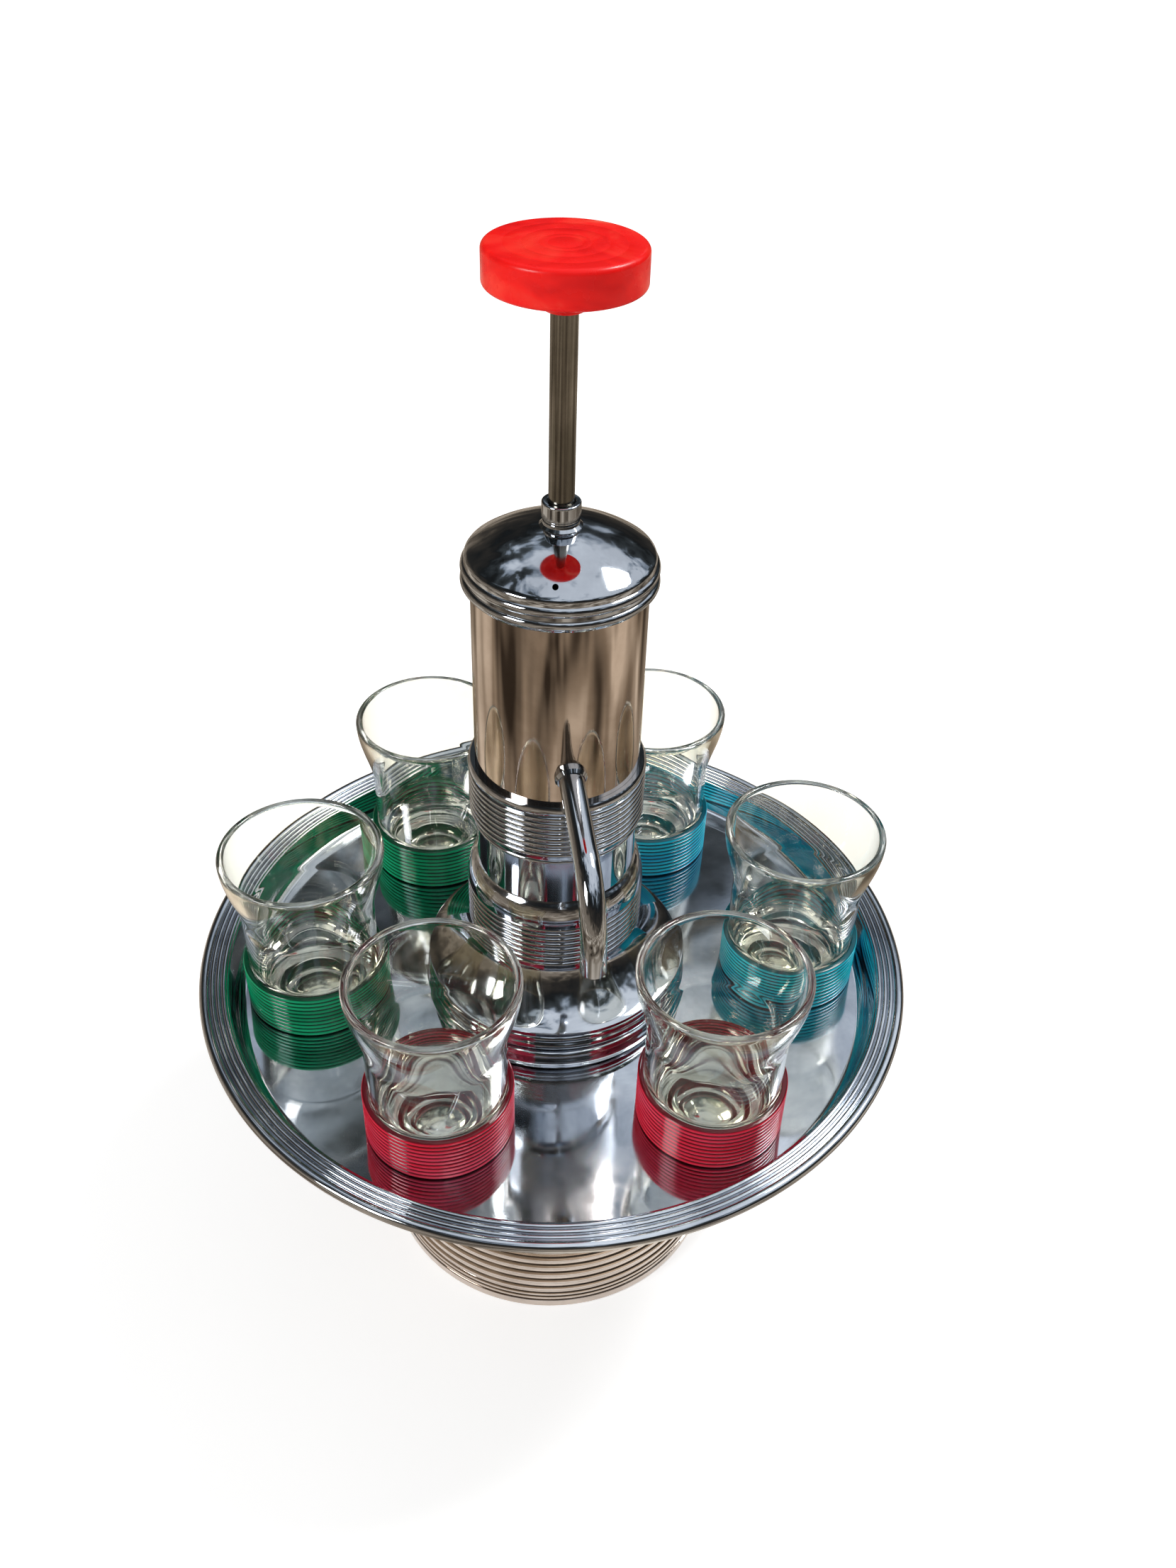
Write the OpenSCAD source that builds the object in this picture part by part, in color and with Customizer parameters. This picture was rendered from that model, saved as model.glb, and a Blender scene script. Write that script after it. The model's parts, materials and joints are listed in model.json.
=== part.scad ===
// Shot dispenser: a hand pump in a chromed column, over a liquor reservoir in the base, with a tray
// that turns to bring six glasses under one spout. Millimetres, +Z up, origin on the table under the
// centre of the base. The front, where the spout points, is close to -Y.

/* [Tray] */
// Outside diameter of the tray
tray_d = 240; // [236:1:256]
// Depth of the tray, from the top of its edge down to its floor
tray_depth = 12.7; // [11:0.1:15]
// Thickness of the tray sheet
tray_sheet = 1.2; // [0.9:0.1:1.5]
// Width of the ringed rim around the tray
rim_w = 9.2; // [8.8:0.1:12]
// Radius of the rolled bead at the tray's edge
edge_bead_r = 1.8; // [1.5:0.1:2.2]
// Number of raised rings on the rim
rim_rings = 3; // [1:1:3]
// Height of the raised centre above the tray floor
centre_rise = 4.5; // [3.5:0.1:5.5]

/* [Base] */
// Diameter of the ribbed base
base_d = 124.6; // [118:0.2:132]
// Height of the base up to its deck
base_h = 107.5; // [95:0.5:120]
// Thickness of the base sheet
base_sheet = 1; // [0.7:0.1:1.4]
// Spacing of the base's ribs
base_rib_pitch = 4.65; // [4.2:0.05:5.6]
// How far the base's ribs stand out
base_rib_h = 0.7; // [0.4:0.1:1]
// Thickness of the felt pad under the base
felt_t = 2.4; // [1.8:0.1:3]

/* [Column] */
// Outside diameter of the column tube
column_d = 51; // [50.6:0.1:53]
// Wall of the column tube
column_wall = 0.8; // [0.5:0.1:0.9]
// Length of plain tube between the upper ribs and the cap
tube_show = 60.6; // [54:0.2:75]
// Height of the upper ribbed band
upper_band_h = 19.7; // [16:0.1:24]
// Height of the plain waist
waist_h = 20; // [14:0.5:26]
// Height of the sloping shoulder under the waist
shoulder_h = 8.5; // [6:0.5:12]
// Height of the lower ribbed band
lower_band_h = 17.5; // [14:0.5:22]
// Outside diameter of the lower ribbed band
lower_band_d = 57.8; // [57:0.2:61]
// Height of the flared skirt, with its beads
skirt_h = 23.2; // [20:0.2:28]
// Outside diameter of the skirt
skirt_d = 87.2; // [86:0.2:92]
// Number of fine ribs in each band
band_ribs = 8; // [5:1:9]

/* [Cap] */
// Outside diameter of the cap over its beads
cap_d = 56.4; // [56:0.1:60]
// Height of the domed top above the cap's beads
dome_rise = 9; // [7.5:0.1:10.5]
// Thickness of the cap's sheet
cap_sheet = 1.2; // [0.9:0.1:1.5]
// Diameter of the guide collar on the cap
collar_d = 11; // [10.6:0.1:12]
// Height of the guide collar above the dome
collar_h = 6.9; // [6:0.1:9]
// Diameter of the air hole in the dome
vent_d = 1.7; // [1:0.1:2.4]

/* [Pump] */
// Bore of the pump cylinder
pump_bore = 34.1; // [30:0.1:34.3]
// Wall of the pump cylinder
pump_wall = 0.95; // [0.7:0.05:1]
// Travel of the plunger from rest to fully pressed
stroke = 50; // [40:1:50]
// Diameter of the plunger rod
rod_d = 7.2; // [6.6:0.1:7.4]
// Outside diameter of the riser pipe beside the cylinder
riser_d = 5.4; // [5.2:0.1:5.6]
// Outside diameter of the dip tube
dip_d = 7; // [6.4:0.1:7.4]
// Diameter of the inlet ball
inlet_ball_d = 6.4; // [5.8:0.1:7]
// Diameter of the outlet ball
outlet_ball_d = 3.8; // [3.6:0.1:4.2]
// Wire diameter of the return spring
spring_wire = 1.5; // [1.1:0.1:1.8]
// Number of turns in the return spring
spring_turns = 7; // [5:1:7]

/* [Spout] */
// Outside diameter of the spout
spout_d = 7.6; // [7.2:0.1:8.2]
// Bore of the spout
spout_bore = 5.6; // [5.4:0.1:5.8]
// Direction of the spout, in degrees to the right of the front
spout_turn = 9; // [0:1:14]
// Downward slope of the spout where it leaves the column, in degrees
spout_fall = 13; // [5:1:20]
// Distance from the column's centre line to the middle of the spout's mouth
spout_reach = 70.5; // [68:0.5:78]
// Bend radius of the spout
spout_bend = 22; // [16:0.5:26]
// Straight length at the spout's mouth
spout_drop = 6; // [3:0.5:7]

/* [Knob] */
// Diameter of the push knob
knob_d = 41.4; // [36:0.2:48]
// Thickness of the push knob
knob_h = 10; // [9:0.1:13]
// Diameter of the boss under the knob
knob_boss_d = 11.3; // [10.5:0.1:14]
// Height of the boss under the knob
knob_boss_h = 6; // [4:0.1:8]

/* [Glasses] */
// Height of a glass
glass_h = 62.5; // [56:0.5:64]
// Diameter of a glass over its lip
glass_rim_d = 52.6; // [50:0.2:53.4]
// Diameter of a glass at its body
glass_body_d = 43.2; // [41:0.2:44.6]
// Thickness of a glass's side wall
glass_wall = 2.3; // [1.8:0.1:2.8]
// Thickness of a glass's heavy bottom
glass_bottom = 9.5; // [8:0.5:12]
// Height of the coloured band round a glass's foot
band_h = 17; // [13.6:0.1:20.4]
// Height of one rib of the coloured band
band_rib_pitch = 1.7; // [1.5:0.05:2]

/* [Hidden] */

$fn = 96;
eps = 0.01;            // overcut of a boolean tool past the face it opens
run = 0.05;            // radial clearance of a running or push fit
slack = 0.3;           // gap between pieces that pass without touching
stand_gap = 0.02;      // what a glass stands clear of the tray's floor

// Base, from the table up
base_r = base_d / 2;
foot_gap = 0.4;                        // the metal foot stands this much above the felt's face
base_wall_r = base_r - base_rib_h;     // outside of the base wall between ribs
base_in_r = base_wall_r - base_sheet;
foot_ring_w = 3;                       // inward roll of the can under the bottom plate
foot_band_h = 3.5;
small_rib_w = 2.3;                     // the two fine rings over the foot
rib_w = 3;
first_rib_z = foot_gap + foot_band_h + 2 * small_rib_w + rib_w / 2 + 1;
bottom_t = 1.2;
deck_t = 1.5;
deck_z = base_h;
top_band_h = 7;                        // plain band under the deck
ledge_t = 1.2;
base_ribs = floor((base_h - top_band_h - first_rib_z) / base_rib_pitch) + 1;

// Neck that carries the column through the tray's hub
neck_r = 34;
neck_in_r = 29;
neck_flange_t = 2;
neck_flange_r = 38;
neck_top_t = 3;
washer_h = 2;
washer_r = 47;
hub_flange_h = 3.3;
hub_z = deck_z + washer_h;
tray_floor_z = hub_z + hub_flange_h + tray_sheet;
centre_z = tray_floor_z + centre_rise;
nut_z = centre_z + slack;
nut_h = 3.2;
nut_r = 38.8;

// Tray
tray_r = tray_d / 2;
tray_top_z = tray_floor_z + tray_depth;
rim_z = tray_top_z - edge_bead_r - tray_sheet / 2;  // underside of the flat rim
rim_in_r = tray_r - rim_w;
ring_r = 0.95;
ring_step = 1.87;
cove_r = 3.4;
wall_lean = 1.9;                       // how far the tray wall leans out over its height
centre_r = 43.5;                       // edge of the raised centre
centre_round = 2.6;
hub_sleeve_r = centre_r - centre_round - 1.5;
floor_r = rim_in_r - wall_lean - cove_r;  // edge of the flat floor

// Column
column_r = column_d / 2;
column_in_r = column_r - column_wall;
skirt_gap = 1.8;                       // running gap between the tray's raised centre and the skirt
skirt_z = centre_z + skirt_gap;
skirt_bead_h = 5.5;
lower_band_z = skirt_z + skirt_h;
shoulder_z = lower_band_z + lower_band_h;
waist_z = shoulder_z + shoulder_h;
upper_band_z = waist_z + waist_h;
upper_band_r = column_r + 2.1;
tube_z = upper_band_z + upper_band_h;
socket_z = upper_band_z - 3.5;         // the tube stands in the pedestal down to here
top_ring_h = 3.6;
lip_z = tube_z + tube_show;
cap_overlap = 7.7;
tube_top_z = lip_z + cap_overlap;
pedestal_wall = 1;
skirt_r = skirt_d / 2;
lower_band_r = lower_band_d / 2;
band_relief = 0.7;                     // how deep the grooves of the column's ribs are

// Plate that joins pump, pedestal and neck
plate_z = skirt_z + skirt_bead_h;
plate_t = 1.7;
plate_r = 38.4;
port_ring_r = 24.6;
port_r = 2.8;
screw_ring_r = 22.6;
screw_r = 2;
screw_head_r = 3.3;
screw_head_h = 2.2;

// Cap
cap_r = cap_d / 2;
cap_edge_h = 9.4;
dome_z = lip_z + cap_edge_h;           // where the dome starts
dome_r = cap_r - 1.2;                  // radius of the dome's edge
dome_sphere = (dome_r * dome_r + dome_rise * dome_rise) / (2 * dome_rise);
dome_top_z = dome_z + dome_rise;
dome_mid_z = dome_top_z - dome_sphere;
collar_r = collar_d / 2;
collar_top_z = dome_top_z + collar_h;
spigot_r = 4.55;
boss_pad_z = dome_top_z - 4;
gland_nut_h = 3.5;
spigot_z = boss_pad_z - gland_nut_h - 1.6;
vent_ring_r = 23.3;
vent_turn = -3;

// Plunger
rod_r = rod_d / 2;
knob_r = knob_d / 2;
hand_room = 2;                         // what is left between boss and collar when fully pressed
boss_z = collar_top_z + stroke + hand_room;
knob_z = boss_z + knob_boss_h;
knob_top_z = knob_z + knob_h;
rod_top_z = knob_z + knob_h * 0.62;
buffer_h = 3;
stop_z = spigot_z - buffer_h;
stop_h = 4.5;

// Pump
bore_r = pump_bore / 2;
cylinder_r = bore_r + pump_wall;
valve_z = plate_z + plate_t;
valve_flange_h = 6.5;
cylinder_z = valve_z + valve_flange_h;
spigot_h = 2;
piston_h = 3;
seal_h = 7;
leather_t = 1.4;                       // thickness of the cup leather
piston_nut_h = 3.5;
stud_r = 2.5;
stud_over = 1;
spring_room = max(13, (spring_turns + 1) * spring_wire + 1);
spring_z = cylinder_z + spigot_h;
follower_z = spring_z + spring_room + stroke;
piston_z = follower_z + seal_h;
rod_z = piston_z + piston_h;
cylinder_top_z = rod_z + 2;
spring_r = 11;

// Riser, on the spout's side of the cylinder
spout_angle = -90 + spout_turn;
riser_r = riser_d / 2;
riser_wall = 1;
riser_ring_r = cylinder_r + 0.5 + riser_r;
tower_r = 4.3;
gallery_r = 1.4;
gallery_z = valve_z + valve_flange_h / 2 - 0.3;
gallery_in = 12.5;

// Inlet valve
dip_r = dip_d / 2;
dip_wall = 0.9;
socket_boss_r = 7;
valve_boss_h = 12;
seat_hole_r = 2.2;
inlet_ball_r = inlet_ball_d / 2;
chamber_r = inlet_ball_r + 0.8;
seat_z = valve_z - 5.5;
ball_gap = 0.05;
inlet_ball_z = seat_z + sqrt(inlet_ball_r * inlet_ball_r - seat_hole_r * seat_hole_r) + ball_gap;
inlet_travel = 2.2;
cage_z = inlet_ball_z + inlet_ball_r + inlet_travel + 0.2;
cage_t = 1.2;
cage_r = chamber_r + 1.2;

// Outlet valve
outlet_ball_r = outlet_ball_d / 2;
outlet_seat_r = 1.3;
outlet_seat_z = gallery_z + 2.4;
outlet_ball_z = outlet_seat_z + sqrt(outlet_ball_r * outlet_ball_r - outlet_seat_r * outlet_seat_r)
    + ball_gap;
outlet_travel = 1.4;
riser_z = outlet_ball_z + outlet_ball_r + outlet_travel + 0.2;
tower_z = riser_z + 4;

// Spout
spout_r = spout_d / 2;
spout_bore_r = spout_bore / 2;
root_z = upper_band_z + upper_band_h + 10.6;      // height where the spout leaves the tube
bend_reach = spout_bend * (1 - sin(spout_fall));
spout_run = (spout_reach - bend_reach - column_r) / cos(spout_fall);
mouth_z = root_z - spout_run * sin(spout_fall) - spout_bend * cos(spout_fall) - spout_drop;
elbow_r = riser_r + 0.5;
elbow_z = root_z + (column_r - riser_ring_r) * tan(spout_fall);
nipple_r = spout_bore_r - 0.1;
nipple_l = 9;

// Dip tube and strainer
strainer_r = 6.5;
strainer_h = 9;
strainer_z = felt_t + bottom_t + 2;

// Glasses, each where it was put down: how far across the room that the floor leaves it, from the
// raised centre to the wall, and degrees right of the front
glass_spots = [[0.48, -28], [0.76, 39.6], [1, 93], [0.8, 154], [0.75, 216], [0.97, 277]];
band_colours = ["crimson", "crimson", "deepskyblue", "deepskyblue", "seagreen", "seagreen"];
glass_rim_r = glass_rim_d / 2;
glass_body_r = glass_body_d / 2;
lip_r = 1.15;
flare_z = 0.575 * glass_h;             // where the glass starts to widen
punt_r = 10.5;
punt_h = 3.2;
foot_round = 2.2;
band_gap = 0.12;
band_sleeve = 0.85;                    // thickness of the band between its ribs
band_ribs_n = round(band_h / band_rib_pitch);
band_r = glass_body_r + band_gap + band_sleeve + band_h / band_ribs_n / 2;
spot_near = centre_r + band_r + slack;
spot_far = floor_r - band_r;

// Points of an arc round [x, y]
function arc(x, y, r, from, to, n = 12) =
    [for (i = [0:n]) let (a = from + (to - from) * i / n) [x + r * cos(a), y + r * sin(a)]];

// Points of the bell curve of the skirt, from the lower band out to the skirt's edge
function bell(x, z, w, h, n = 16) =
    [for (i = [0:n]) let (a = 90 * i / n) [x - w * pow(cos(a), 1.55), z - h * pow(sin(a), 1.3)]];

// Points of a rounded shoulder from radius r_low up and in to r_top
function shoulder(r_low, r_top, z, h, n = 8) =
    [for (i = [0:n]) let (a = 70 * i / n)
        [r_low - (r_low - r_top) * (1 - cos(a)) / (1 - cos(70)), z + h * sin(a) / sin(70)]];

// The same points from last to first
function reverse(list) = [for (i = [len(list) - 1:-1:0]) list[i]];

// Ring with a square section
module ring(r_in, r_out, z, h) {
    translate([0, 0, z]) difference() {
        cylinder(r = r_out, h = h);
        translate([0, 0, -eps]) cylinder(r = r_in, h = h + 2 * eps);
    }
}

// Half section of a rounded rib whose crest is at radius r, rooted at r_in
module rib_2d(r, r_in, z, w, h) {
    round_r = (w * w / 4 + h * h) / (2 * h);
    intersection() {
        translate([r - round_r, z]) circle(r = round_r);
        translate([r_in, z - w / 2]) square([round_r * 2, w]);
    }
}

// Half section from radius r_in to r_out
module wall_2d(r_in, r_out, z, h) {
    translate([r_in, z]) square([r_out - r_in, h]);
}

// Half section of a disc with rounded edges
module round_disc_2d(r, z, h, top_round, low_round) {
    wall_2d(0, r - max(top_round, low_round), z, h);
    wall_2d(0, r, z + low_round, h - top_round - low_round);
    translate([r - top_round, z + h - top_round]) circle(r = top_round);
    translate([r - low_round, z + low_round]) circle(r = low_round);
}

// Puts children at a distance from the centre line, in the spout's direction
module at_spout_side(distance) {
    rotate([0, 0, spout_angle]) translate([distance, 0, 0]) children();
}

// Puts children at the spout's root with +Z along its slope
module at_spout_root() {
    at_spout_side(column_r) translate([0, 0, root_z]) rotate([0, 90 + spout_fall, 0]) children();
}

// ---- Base ----

module felt_pad() {
    color("darkgreen") cylinder(r = base_in_r - foot_ring_w - 0.5, h = felt_t);
}

module base_can() {
    color("silver") rotate_extrude() {
        wall_2d(base_in_r, base_wall_r, foot_gap, base_h - foot_gap);
        wall_2d(base_in_r - foot_ring_w, base_in_r, foot_gap, felt_t - foot_gap);
        wall_2d(base_in_r - foot_ring_w / 2, base_in_r, base_h - deck_t - ledge_t, ledge_t);
        wall_2d(base_in_r, base_r, foot_gap, foot_band_h);
        for (i = [0:1])
            rib_2d(base_r, base_in_r, foot_gap + foot_band_h + small_rib_w * (i + 0.5),
                small_rib_w, base_rib_h * 0.8);
        for (i = [0:base_ribs - 1])
            rib_2d(base_r, base_in_r, first_rib_z + i * base_rib_pitch, rib_w, base_rib_h);
        rib_2d(base_r, base_in_r, base_h - rib_w / 2, rib_w, base_rib_h);
    }
}

module base_bottom() {
    color("lightgray") translate([0, 0, felt_t]) {
        cylinder(r = base_in_r - run, h = bottom_t);
        translate([0, 0, bottom_t]) ring(base_in_r - 2.2, base_in_r - run, 0, 4);
    }
}

module base_deck() {
    color("silver") ring(neck_r + run, base_in_r - run, deck_z - deck_t, deck_t);
}

module neck_sleeve() {
    color("gold") difference() {
        union() {
            translate([0, 0, deck_z - deck_t - neck_flange_t])
                cylinder(r = neck_flange_r, h = neck_flange_t);
            translate([0, 0, deck_z - deck_t - neck_flange_t])
                cylinder(r = neck_r, h = plate_z - deck_z + deck_t + neck_flange_t);
        }
        translate([0, 0, deck_z - deck_t - neck_flange_t - eps])
            cylinder(r = neck_in_r, h = plate_z - neck_top_t - deck_z + deck_t + neck_flange_t + eps);
        cylinder(r = 16, h = plate_z + eps);
        plate_holes(screw_r + run);
    }
}

// Filling ports and screw holes shared by the plate and the neck's top
module plate_holes(hole_r) {
    for (i = [0:5])
        rotate([0, 0, spout_angle + 30 + 60 * i]) translate([port_ring_r, 0, plate_z - neck_top_t - 1])
            cylinder(r = port_r, h = neck_top_t + plate_t + 2);
    for (i = [0:2])
        rotate([0, 0, spout_angle + 60 + 120 * i])
            translate([screw_ring_r, 0, plate_z - neck_top_t - 1])
                cylinder(r = hole_r, h = neck_top_t + plate_t + 2);
}

module thrust_washer() {
    color("ivory") ring(neck_r + slack, washer_r, deck_z, washer_h);
}

module hub_nut() {
    notch_w = 4;
    color("goldenrod") difference() {
        ring(neck_r + run, nut_r, nut_z, nut_h);
        for (i = [0:3])
            rotate([0, 0, 45 + 90 * i]) translate([nut_r - 2, -notch_w / 2, nut_z + nut_h / 2])
                cube([4, notch_w, nut_h]);
    }
}

// ---- Column ----

// Spun pedestal: upper ribs, waist, shoulder, lower ribs and the flared skirt on its two beads
module pedestal() {
    flare_w = skirt_r - 0.6 - (lower_band_r - band_relief);
    flare_h = skirt_h - skirt_bead_h - 2;
    waist_r = column_r + 0.1;
    rib_zone = (upper_band_h - top_ring_h) / band_ribs;
    low_zone = lower_band_h / band_ribs;
    outer = concat(
        [[upper_band_r - 1.2, tube_z], [upper_band_r - band_relief, tube_z - 0.9]],
        [[upper_band_r - band_relief, upper_band_z + 0.3], [waist_r + 1, upper_band_z]],
        [[waist_r + 1, upper_band_z - 1.8], [waist_r + 0.35, upper_band_z - 2.2]],
        [[waist_r + 0.35, upper_band_z - 4.6], [waist_r, upper_band_z - 5]],
        [[waist_r, waist_z]],
        reverse(shoulder(lower_band_r - 0.1, waist_r + 0.5, shoulder_z, shoulder_h - 0.3)),
        [[lower_band_r - band_relief, shoulder_z - 0.1]],
        bell(skirt_r - 0.6, lower_band_z, flare_w, flare_h),
        [[skirt_r - 1.4, lower_band_z - flare_h - 0.8], [skirt_r - 1.4, skirt_z + 1]]
    );
    inner = concat(
        [[column_r + run, tube_z], [column_r + run, socket_z], [column_in_r, socket_z]],
        [[column_in_r, waist_z - 0.8], [lower_band_r - band_relief - pedestal_wall, shoulder_z - 0.6]],
        [for (p = bell(skirt_r - 0.6, lower_band_z, flare_w + pedestal_wall, flare_h + pedestal_wall))
            if (p[1] > plate_z + plate_t * 0.6) p],
        [[plate_r + 0.5, plate_z], [plate_r - 1.4, plate_z], [plate_r - 1.4, plate_z - 2.2]],
        [[skirt_r - 4, plate_z - 2.8], [skirt_r - 4, skirt_z + 1]]
    );
    color("silver") rotate_extrude() {
        polygon(concat(inner, reverse(outer)));
        // two beads at the skirt's foot
        translate([skirt_r - 1.9, plate_z - 1.3]) circle(r = 1.5);
        translate([skirt_r - 1.5, skirt_z + 1.5]) circle(r = 1.5);
        translate([skirt_r - 4, skirt_z]) square([2.6, 1.5]);
        // upper ribs and the wider ring over them
        for (i = [0:band_ribs - 1])
            rib_2d(upper_band_r, column_r + 0.6, upper_band_z + rib_zone * (i + 0.5), rib_zone * 0.9,
                band_relief);
        rib_2d(upper_band_r + 0.1, column_r + 0.6, tube_z - top_ring_h / 2, top_ring_h,
            band_relief + 0.1);
        // lower ribs
        for (i = [0:band_ribs - 1])
            rib_2d(lower_band_r, lower_band_r - band_relief - pedestal_wall / 2,
                lower_band_z + low_zone * (i + 0.5), low_zone * 0.9, band_relief);
    }
}

module pedestal_plate() {
    color("lightgray") difference() {
        translate([0, 0, plate_z]) cylinder(r = plate_r, h = plate_t);
        cylinder(r = socket_boss_r + slack, h = plate_z + plate_t + eps);
        plate_holes(screw_r + 0.2);
    }
}

module column_tube() {
    color("silver") difference() {
        ring(column_in_r, column_r, socket_z, tube_top_z - socket_z);
        at_spout_root() translate([0, 0, -5]) cylinder(r = spout_r + 0.1, h = 10);
    }
}

// ---- Pump ----

module pump_cylinder() {
    color("gold") difference() {
        ring(bore_r, cylinder_r, cylinder_z, cylinder_top_z - cylinder_z);
        translate([0, 0, cylinder_top_z - 1]) cylinder(r1 = bore_r, r2 = bore_r + 0.5, h = 1 + eps);
    }
}

module valve_body() {
    color("darkgoldenrod") difference() {
        union() {
            translate([0, 0, valve_z]) cylinder(r = cylinder_r + 1.2, h = valve_flange_h);
            translate([0, 0, cylinder_z - eps]) cylinder(r = bore_r - run, h = spigot_h + eps);
            translate([0, 0, valve_z - valve_boss_h]) cylinder(r = socket_boss_r, h = valve_boss_h + 1);
            for (i = [0:2])
                rotate([0, 0, spout_angle + 60 + 120 * i]) translate([screw_ring_r, 0, valve_z])
                    cylinder(r = screw_head_r + 1, h = valve_flange_h);
            difference() {
                at_spout_side(riser_ring_r) translate([0, 0, valve_z])
                    cylinder(r = tower_r, h = tower_z - valve_z);
                translate([0, 0, cylinder_z]) cylinder(r = cylinder_r + 0.15, h = tower_z);
            }
        }
        // screw holes
        for (i = [0:2])
            rotate([0, 0, spout_angle + 60 + 120 * i]) translate([screw_ring_r, 0, valve_z - eps])
                cylinder(r = screw_r + 0.2, h = valve_flange_h + 2 * eps);
        // dip tube socket, seat, ball chamber and cage recess
        translate([0, 0, valve_z - valve_boss_h - eps]) cylinder(r = dip_r + run, h = 5);
        translate([0, 0, valve_z - valve_boss_h]) cylinder(r = seat_hole_r, h = valve_boss_h);
        translate([0, 0, seat_z]) cylinder(r = chamber_r, h = spring_z - seat_z + eps);
        translate([0, 0, cage_z]) cylinder(r = cage_r + run, h = spring_z - cage_z + eps);
        // gallery from the cylinder floor to the outlet valve
        at_spout_side(gallery_in) translate([0, 0, gallery_z]) cylinder(r = gallery_r, h = 20);
        at_spout_side(gallery_in) translate([0, 0, gallery_z]) rotate([0, 90, 0])
            cylinder(r = gallery_r, h = riser_ring_r - gallery_in);
        at_spout_side(riser_ring_r) {
            translate([0, 0, gallery_z]) cylinder(r = outlet_seat_r, h = 10);
            translate([0, 0, outlet_seat_z]) cylinder(r = outlet_ball_r + 0.5, h = 20);
            translate([0, 0, riser_z]) cylinder(r = riser_r + run, h = 20);
        }
    }
}

module pump_screws() {
    color("dimgray") for (i = [0:2])
        rotate([0, 0, spout_angle + 60 + 120 * i]) translate([screw_ring_r, 0, 0]) difference() {
            union() {
                translate([0, 0, plate_z - neck_top_t - 1])
                    cylinder(r = screw_r, h = cylinder_z - plate_z + neck_top_t + 1 + eps);
                translate([0, 0, cylinder_z]) cylinder(r = screw_head_r, h = screw_head_h);
            }
            translate([-screw_head_r - 1, -0.5, cylinder_z + screw_head_h - 1])
                cube([2 * screw_head_r + 2, 1, 2]);
        }
}

module inlet_ball() {
    color("lightsteelblue") translate([0, 0, inlet_ball_z]) sphere(r = inlet_ball_r);
}

module inlet_cage() {
    color("goldenrod") difference() {
        translate([0, 0, cage_z]) cylinder(r = cage_r, h = cage_t);
        for (i = [0:2])
            rotate([0, 0, 120 * i]) translate([cage_r / 2, 0, cage_z - eps])
                cylinder(r = 1.2, h = cage_t + 2 * eps);
    }
}

module outlet_ball() {
    color("lightsteelblue") at_spout_side(riser_ring_r) translate([0, 0, outlet_ball_z])
        sphere(r = outlet_ball_r);
}

// Riser pipe, slotted across its foot so that the ball under it can't shut it
module riser_pipe() {
    color("peru") at_spout_side(riser_ring_r) difference() {
        ring(riser_r - riser_wall, riser_r, riser_z, elbow_z - 4 - riser_z);
        translate([-riser_r - 1, -0.7, riser_z - 1]) cube([2 * riser_r + 2, 1.4, 2.2]);
    }
}

module riser_elbow() {
    color("darkgoldenrod") difference() {
        union() {
            at_spout_side(riser_ring_r) translate([0, 0, elbow_z - 7.5])
                cylinder(r = elbow_r, h = 7.5 + elbow_r + 0.6);
            at_spout_side(riser_ring_r) translate([0, 0, elbow_z]) rotate([0, 90 + spout_fall, 0])
                cylinder(r = nipple_r, h = nipple_l);
        }
        at_spout_side(riser_ring_r) {
            translate([0, 0, elbow_z - 7.5 - eps]) cylinder(r = riser_r + run, h = 3.5 + eps);
            translate([0, 0, elbow_z - 5]) cylinder(r = riser_r - riser_wall, h = 5);
            translate([0, 0, elbow_z]) rotate([0, 90 + spout_fall, 0])
                cylinder(r = riser_r - riser_wall, h = nipple_l + eps);
        }
    }
}

module dip_tube() {
    bottom = strainer_z + strainer_h - 3;
    color("peru") ring(dip_r - dip_wall, dip_r, bottom, valve_z - valve_boss_h + 5 - bottom - 2 * eps);
}

module strainer() {
    slots = 8;
    color("goldenrod") difference() {
        translate([0, 0, strainer_z]) cylinder(r = strainer_r, h = strainer_h);
        translate([0, 0, strainer_z + 0.8]) cylinder(r = strainer_r - 0.8, h = strainer_h - 4.8);
        translate([0, 0, strainer_z + strainer_h - 3 - eps]) cylinder(r = dip_r + run, h = 4);
        translate([0, 0, strainer_z + 2]) cylinder(r = dip_r - dip_wall, h = strainer_h);
        for (i = [0:slots - 1])
            rotate([0, 0, 360 / slots * i]) translate([strainer_r - 2, -0.6, strainer_z + 1.4])
                cube([4, 1.2, strainer_h - 6.4]);
    }
}

// Return spring: one wire wound up the cylinder between its floor and the follower
module return_spring() {
    sides = 6;
    per_turn = 16;
    rings = spring_turns * per_turn;
    low = spring_z + spring_wire / 2 + 0.1;
    high = follower_z - spring_wire / 2 - 0.1;
    coil = [for (i = [0:rings]) let (a = 360 * i / per_turn, z = low + (high - low) * i / rings)
        for (j = [0:sides - 1]) let (b = 360 * j / sides, r = spring_r + spring_wire / 2 * cos(b))
            [r * cos(a), r * sin(a), z + spring_wire / 2 * sin(b)]];
    sides_faces = [for (i = [0:rings - 1]) for (j = [0:sides - 1])
        let (k = (j + 1) % sides, p = i * sides, q = p + sides)
            for (f = [[p + j, p + k, q + k], [p + j, q + k, q + j]]) f];
    low_cap = [for (j = [1:sides - 2]) [0, j + 1, j]];
    last = rings * sides;
    high_cap = [for (j = [1:sides - 2]) [last, last + j, last + j + 1]];
    color("lightslategray") polyhedron(coil, concat(sides_faces, low_cap, high_cap));
}

// ---- Spout ----

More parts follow.
